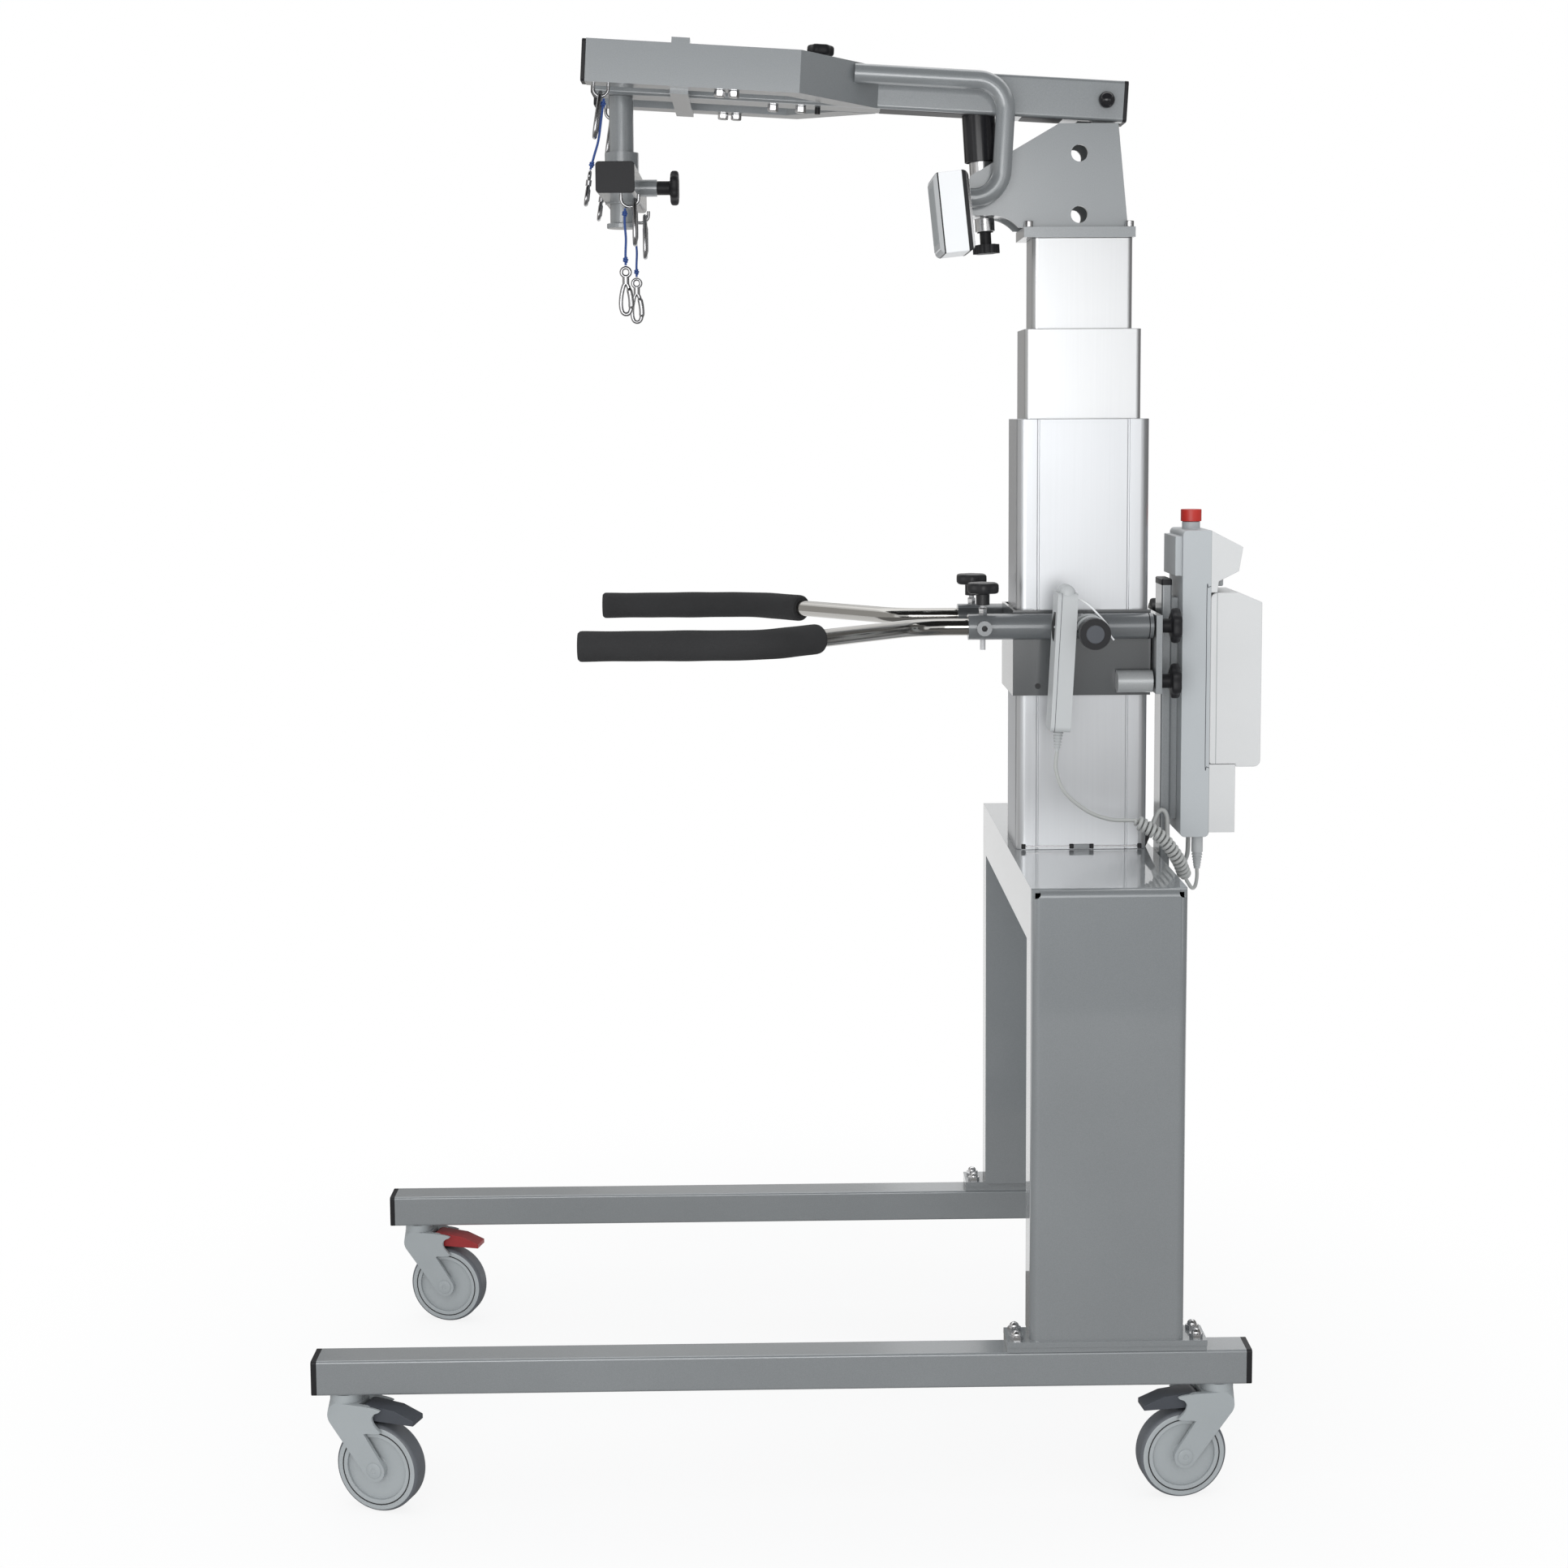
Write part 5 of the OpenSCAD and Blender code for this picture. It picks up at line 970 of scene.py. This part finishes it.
CLIPS = [("clip_ends", "black_plastic", 3.2, (333, 405, 435, 507)), ("clip_bars", "grey_coat", 12, (420,))]
FOOT_Y, FOOT_Z = 68, 876  # mm, the column's flat and the seam at its foot
WELD_NUT = [(5.6, -1.5), (6.5, -0.5), (6.5, 8.5), (5.7, 9.5), (4.2, 9.6)]  # mm, on each socket
for side, sign in SIDES.items():
    side_on = np.array([[-sign, 0, 0], [0, 0, 1], [0, sign, 0]])
    for name, finish_name, half_width, places in CLIPS:
        clips = [slab((half_width * MM, 0.0036), 0.0010, [(-0.001, 0), (0.0016, 0), (0.0022, 0.0007)],
                      at(x, sign * FOOT_Y, FOOT_Z), side_on) for x in places]
        add(f"{side}_{name}", finish_name, "frame", *clips, slot="black_plastic")
    strip = slab((0.083, 0.0013), 0.0008, [(-0.001, 0), (0.0008, 0), (0.0012, 0.0005)],
                 at(420, sign * FOOT_Y, FOOT_Z), side_on)
    add(f"{side}_foot_line", "bright_zinc", "frame", strip)
    # A flat black disc on each clamp plate is painted shade for the dark inside of its screw hole.
    hole = lathe([(4.2, -1), (4.2, 0.4), (0, 0.4)], at(352, sign * 81.6, 1119), (0, sign, 0), 24)
    add(f"{side}_plate_hole_shade", "drive_black", "handrail", hole, slot="black_plastic")
    seam = hoop((513, sign * 95, RAIL_HEIGHT), (1, 0, 0), 19.0, 0.7)
    add(f"{side}_socket_seam", "black_plastic", "handrail", seam)
    nut = lathe(WELD_NUT, at(269, sign * 95, 1228), (0, 0, 1), 6)
    add(f"{side}_weld_nut", "bright_zinc", "handrail", nut)
HANGER_END = at(417, -225, RAIL_HEIGHT)
disc = lathe([(13, -1), (13, 0.3), (12.4, 0.8), (0, 0.9)], HANGER_END, (0, -1, 0))
add("hanger_disc", "pedal_grey", "handrail", disc, slot="black_plastic")
band = [(22.0, -14.4), (22.4, -13.8), (22.4, -0.8), (21.2, 0.5), (13.4, 0.6), (13.2, -0.2)]
ring = lathe(band, HANGER_END, (0, -1, 0), 48)
add("hanger_ring", "black_plastic", "handrail", ring)
for side, sign in SIDES.items():
    screw = lathe([(4.1, -6), (4.1, -3.2), (3.6, -2.6), (2.2, -2.5), (2.0, -4), (0, -4)],
                  at(269, sign * 126, RAIL_HEIGHT), (0, sign, 0), 24)
    add(f"{side}_socket_screw", "drive_black", "handrail", screw, slot="black_plastic")
HANDSET_MIDDLE, HANDSET_LEAN = np.array([377, -168, 1165]), np.radians(3)
down = np.array([-np.sin(HANDSET_LEAN), 0, -np.cos(HANDSET_LEAN)])
foot = HANDSET_MIDDLE + down * 100
ribs = [hoop(foot + down * (4 + 4.4 * k), down, 6.6 - 0.55 * k, 1.0) for k in range(6)]
add("handset_boot", "control_grey", "handrail", *ribs)
ribs = [hoop((599, -40, 840 + 4.2 * k), (0, 0, 1), 4.6 + 0.65 * k, 1.0) for k in range(5)]
add("plug_boot", "control_grey", "frame", *ribs)
hanger = easy_line(MM * np.array([[384, -168, 1262], [392, -174, 1259], [410, -192, 1249], [426, -205, 1233],
                                  [438, -206, 1218], [441, -206, 1206], [446, -206, 1199]]))
add("handset_hook", "white_case", "handrail", tube(hanger, 1.3 * MM, 10), slot="control_grey")
NUT = [(6.8, -0.2), (8.0, 0.5), (8.0, 8.0), (7.0, 9.4), (0, 9.5)]
NUT_PLACES = [(-x, y, -30) for y in (-126, 126) for x in (564, 544)] + [(-x, 0, -30) for x in (488, 447)]
nuts = [lathe(NUT, boom_place(spot), -BOOM_AXES[2], 6) for spot in NUT_PLACES]
add("yoke_nuts", "bright_zinc", "boom", *nuts)
# A black strip under the boom, between the yoke and the head bracket, is painted shade on the boom's bottom
# face.
UNDER_AXES = BOOM_AXES * [[1], [-1], [-1]]
underside_shades = [slab((reach * MM, 0.024), 0.002, [(-0.001, 0), (0.0005, 0)], boom_place([x, 0, -30]), UNDER_AXES)
         for x, reach in ((-257.5, 72.5), (-92, 30))]
add("boom_underside_shade", "drive_black", "boom", *underside_shades, slot="black_plastic")
print("trim made")

# %% [markdown]
# ## Seams and caps of the controls
# The handset is two shells with a rounded top, and a fine dark line runs round it near its front. On the
# control box a line with rounded corners marks the battery's tray, and a small latch stands under the hood.
# The rail that carries the box ends in a black cap. Lines are thin tubes that lie half in the surface.

# %% Handset top and seam, tray line, latch and rail cap
HANDSET_AXES = np.array([[0, 1, 0], -down, np.cross([0, 1, 0], -down)])
HANDSET_DOME = MM * np.array([
    (93, 0), (100, 0), (103.5, 0.6), (106.5, 2.2), (109, 4.8), (110.5, 7.8), (111.4, 11.6)])
handset_middle = MM * HANDSET_MIDDLE
dome = slab((0.0118, 0.0255), 0.0117, HANDSET_DOME, handset_middle, HANDSET_AXES[[2, 0, 1]])
add("handset_dome", "control_grey", "handrail", dome)
rim = slab((0.0275, 0.1), 0.0080, [(0, 0)], handset_middle - 0.0085 * HANDSET_AXES[2], HANDSET_AXES)[0]
seam = tube(np.vstack([rim, rim[:1]]), 0.0004, 6, loop=True)
add("handset_seam", "pedal_grey", "handrail", seam, slot="control_grey")
low, high = (corner[2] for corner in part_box("battery_pack"))
tray = easy_line([[CASE_SEAM, 0, high + 0.010], [0.6085, 0, high + 0.008], [0.6065, 0, high + 0.002],
                  [0.6065, 0, (low + high) / 2], [0.6065, 0, low + 0.006],
                  [0.6085, 0, low + 0.001], [CASE_SEAM, 0, low - 0.001]], 10)
lines = [tube(tray + [0, sign * 0.058, 0], 0.0005, 6) for sign in (-1, 1)]
add("tray_lines", "pedal_grey", "frame", *lines, slot="control_grey")
latch = slab((0.005, 0.016), 0.002, [(-0.018, 0), (0.001, 0), (0.003, 0.0012)],
             [0.634, 0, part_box("control_box")[1][2] - 0.094], np.array([[1, 0, 0], [0, -1, 0], [0, 0, -1]]))
add("battery_latch", "control_grey", "frame", latch)
cap = slab((0.0079, 0.0304), 0.003, [(-0.009, 0), (-0.001, 0), (0.0004, 0.0012)],
           [0.5515, 0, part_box("control_rail")[1][2]], np.eye(3))
add("rail_cap", "black_plastic", "frame", cap)
print("seams, latch and cap made")

# %% [markdown]
# ## Castors
# Each castor's axle ends in a flat cap on the fork, and a fine groove parts the tyre from the wheel's
# face. The tyre's running surface is a darker rubber: a mask on the distance from the axle finds it. Two
# cheeks carry the fork's hood out to the brake pedal, which sits between them. The wheel's middle comes
# from the CAD node's box, and the axle's direction from its yaw.

# %% Castor trim
YAWS = {"near_front": -19, "far_front": -14, "near_rear": 188, "far_rear": 161}
FACE_GREY, TREAD_GREY = (0.36, 0.385, 0.395, 1), (0.110, 0.118, 0.131, 1)
TRAIL, AXLE_Z, SWIVEL_Z = 52, 62.5, 165  # mm
TREAD_R = 0.0588  # m
CHEEK = np.array([  # mm, outline of one cheek
    [14, -15], [30, -12.6], [50, -13.2], [63, -16], [55, -20], [50.5, -27], [52, -35],
    [58, -42], [63, -47.5], [54, -50.5], [40, -51.5], [26, -56], [12, -44]])


def tyre_finish(name, middle, axle):
    """Pale face and dark tread: tread where the distance from the axle is over TREAD_R."""

    def paint(where):
        arm = where.node("VectorMath", {"operation": "SUBTRACT"}, {0: where, 1: tuple(middle)})
        reach = where.node("VectorMath", {"operation": "LENGTH"}, {0: arm}, out=1)
        along = where.node("VectorMath", {"operation": "DOT_PRODUCT"}, {0: arm, 1: tuple(axle)}, out=1)
        return (reach * reach - along * along > TREAD_R**2).mix(FACE_GREY, TREAD_GREY)

    return finish(name, None, 0.45, fleck=(1200, 0.06), paint=paint)


def plate(outline, layers, place):
    """A flat plate: the outline drawn in towards its middle by each layer's inset, at that layer's height."""
    middle = outline.mean(0)
    arm = outline - middle
    reach = np.linalg.norm(arm, axis=1, keepdims=True)
    rings = [np.column_stack([middle + arm * (1 - inset / reach), np.full(len(arm), height)])
             for height, inset in layers]
    return place(np.array(rings))


for name, yaw in YAWS.items():
    low, high = (np.array(v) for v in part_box(f"{name}_wheel"))
    middle = (low + high) / 2 / MM
    heading = np.array([np.cos(np.radians(yaw)), np.sin(np.radians(yaw)), 0])
    axle = np.array([-heading[1], heading[0], 0])
    FINISH[f"{name}_tyre"] = tyre_finish(f"{name}_tyre", middle * MM, axle)
    dress(f"{name}_wheel", f"{name}_tyre", FINE_BEVEL)
    swivel = middle - TRAIL * heading + [0, 0, SWIVEL_Z - AXLE_Z]
    cheeks = [plate(easy_line(np.column_stack([CHEEK, 0 * CHEEK[:, 0]]), 3)[:, :2][:: -face],
                    [(17.2, 1.0), (18.2, 0), (21.6, 0), (22.6, 1.2)],
                    lambda q: MM * (swivel + q[..., :1] * heading + q[..., 1:2] * [0, 0, 1]
                                    + face * q[..., 2:] * axle)) for face in (-1, 1)]
    add(f"{name}_hood_cheeks", "castor_plastic", f"{name}_fork", *cheeks)
    caps = [lathe([(11, -0.5), (11, 0.8), (10, 1.4), (4, 1.5), (3.6, 0.9), (0, 0.9)],
                  MM * (middle + face * 22.5 * axle), face * axle) for face in (-1, 1)]
    add(f"{name}_axle_caps", "castor_plastic", f"{name}_fork", *caps)
    rims = [hoop(middle + face * 15.4 * axle, axle, 51.5, 0.9) for face in (-1, 1)]
    add(f"{name}_rim_lines", "drive_black", f"{name}_wheel", *rims, slot="castor_plastic")
print("castors:", len(YAWS))
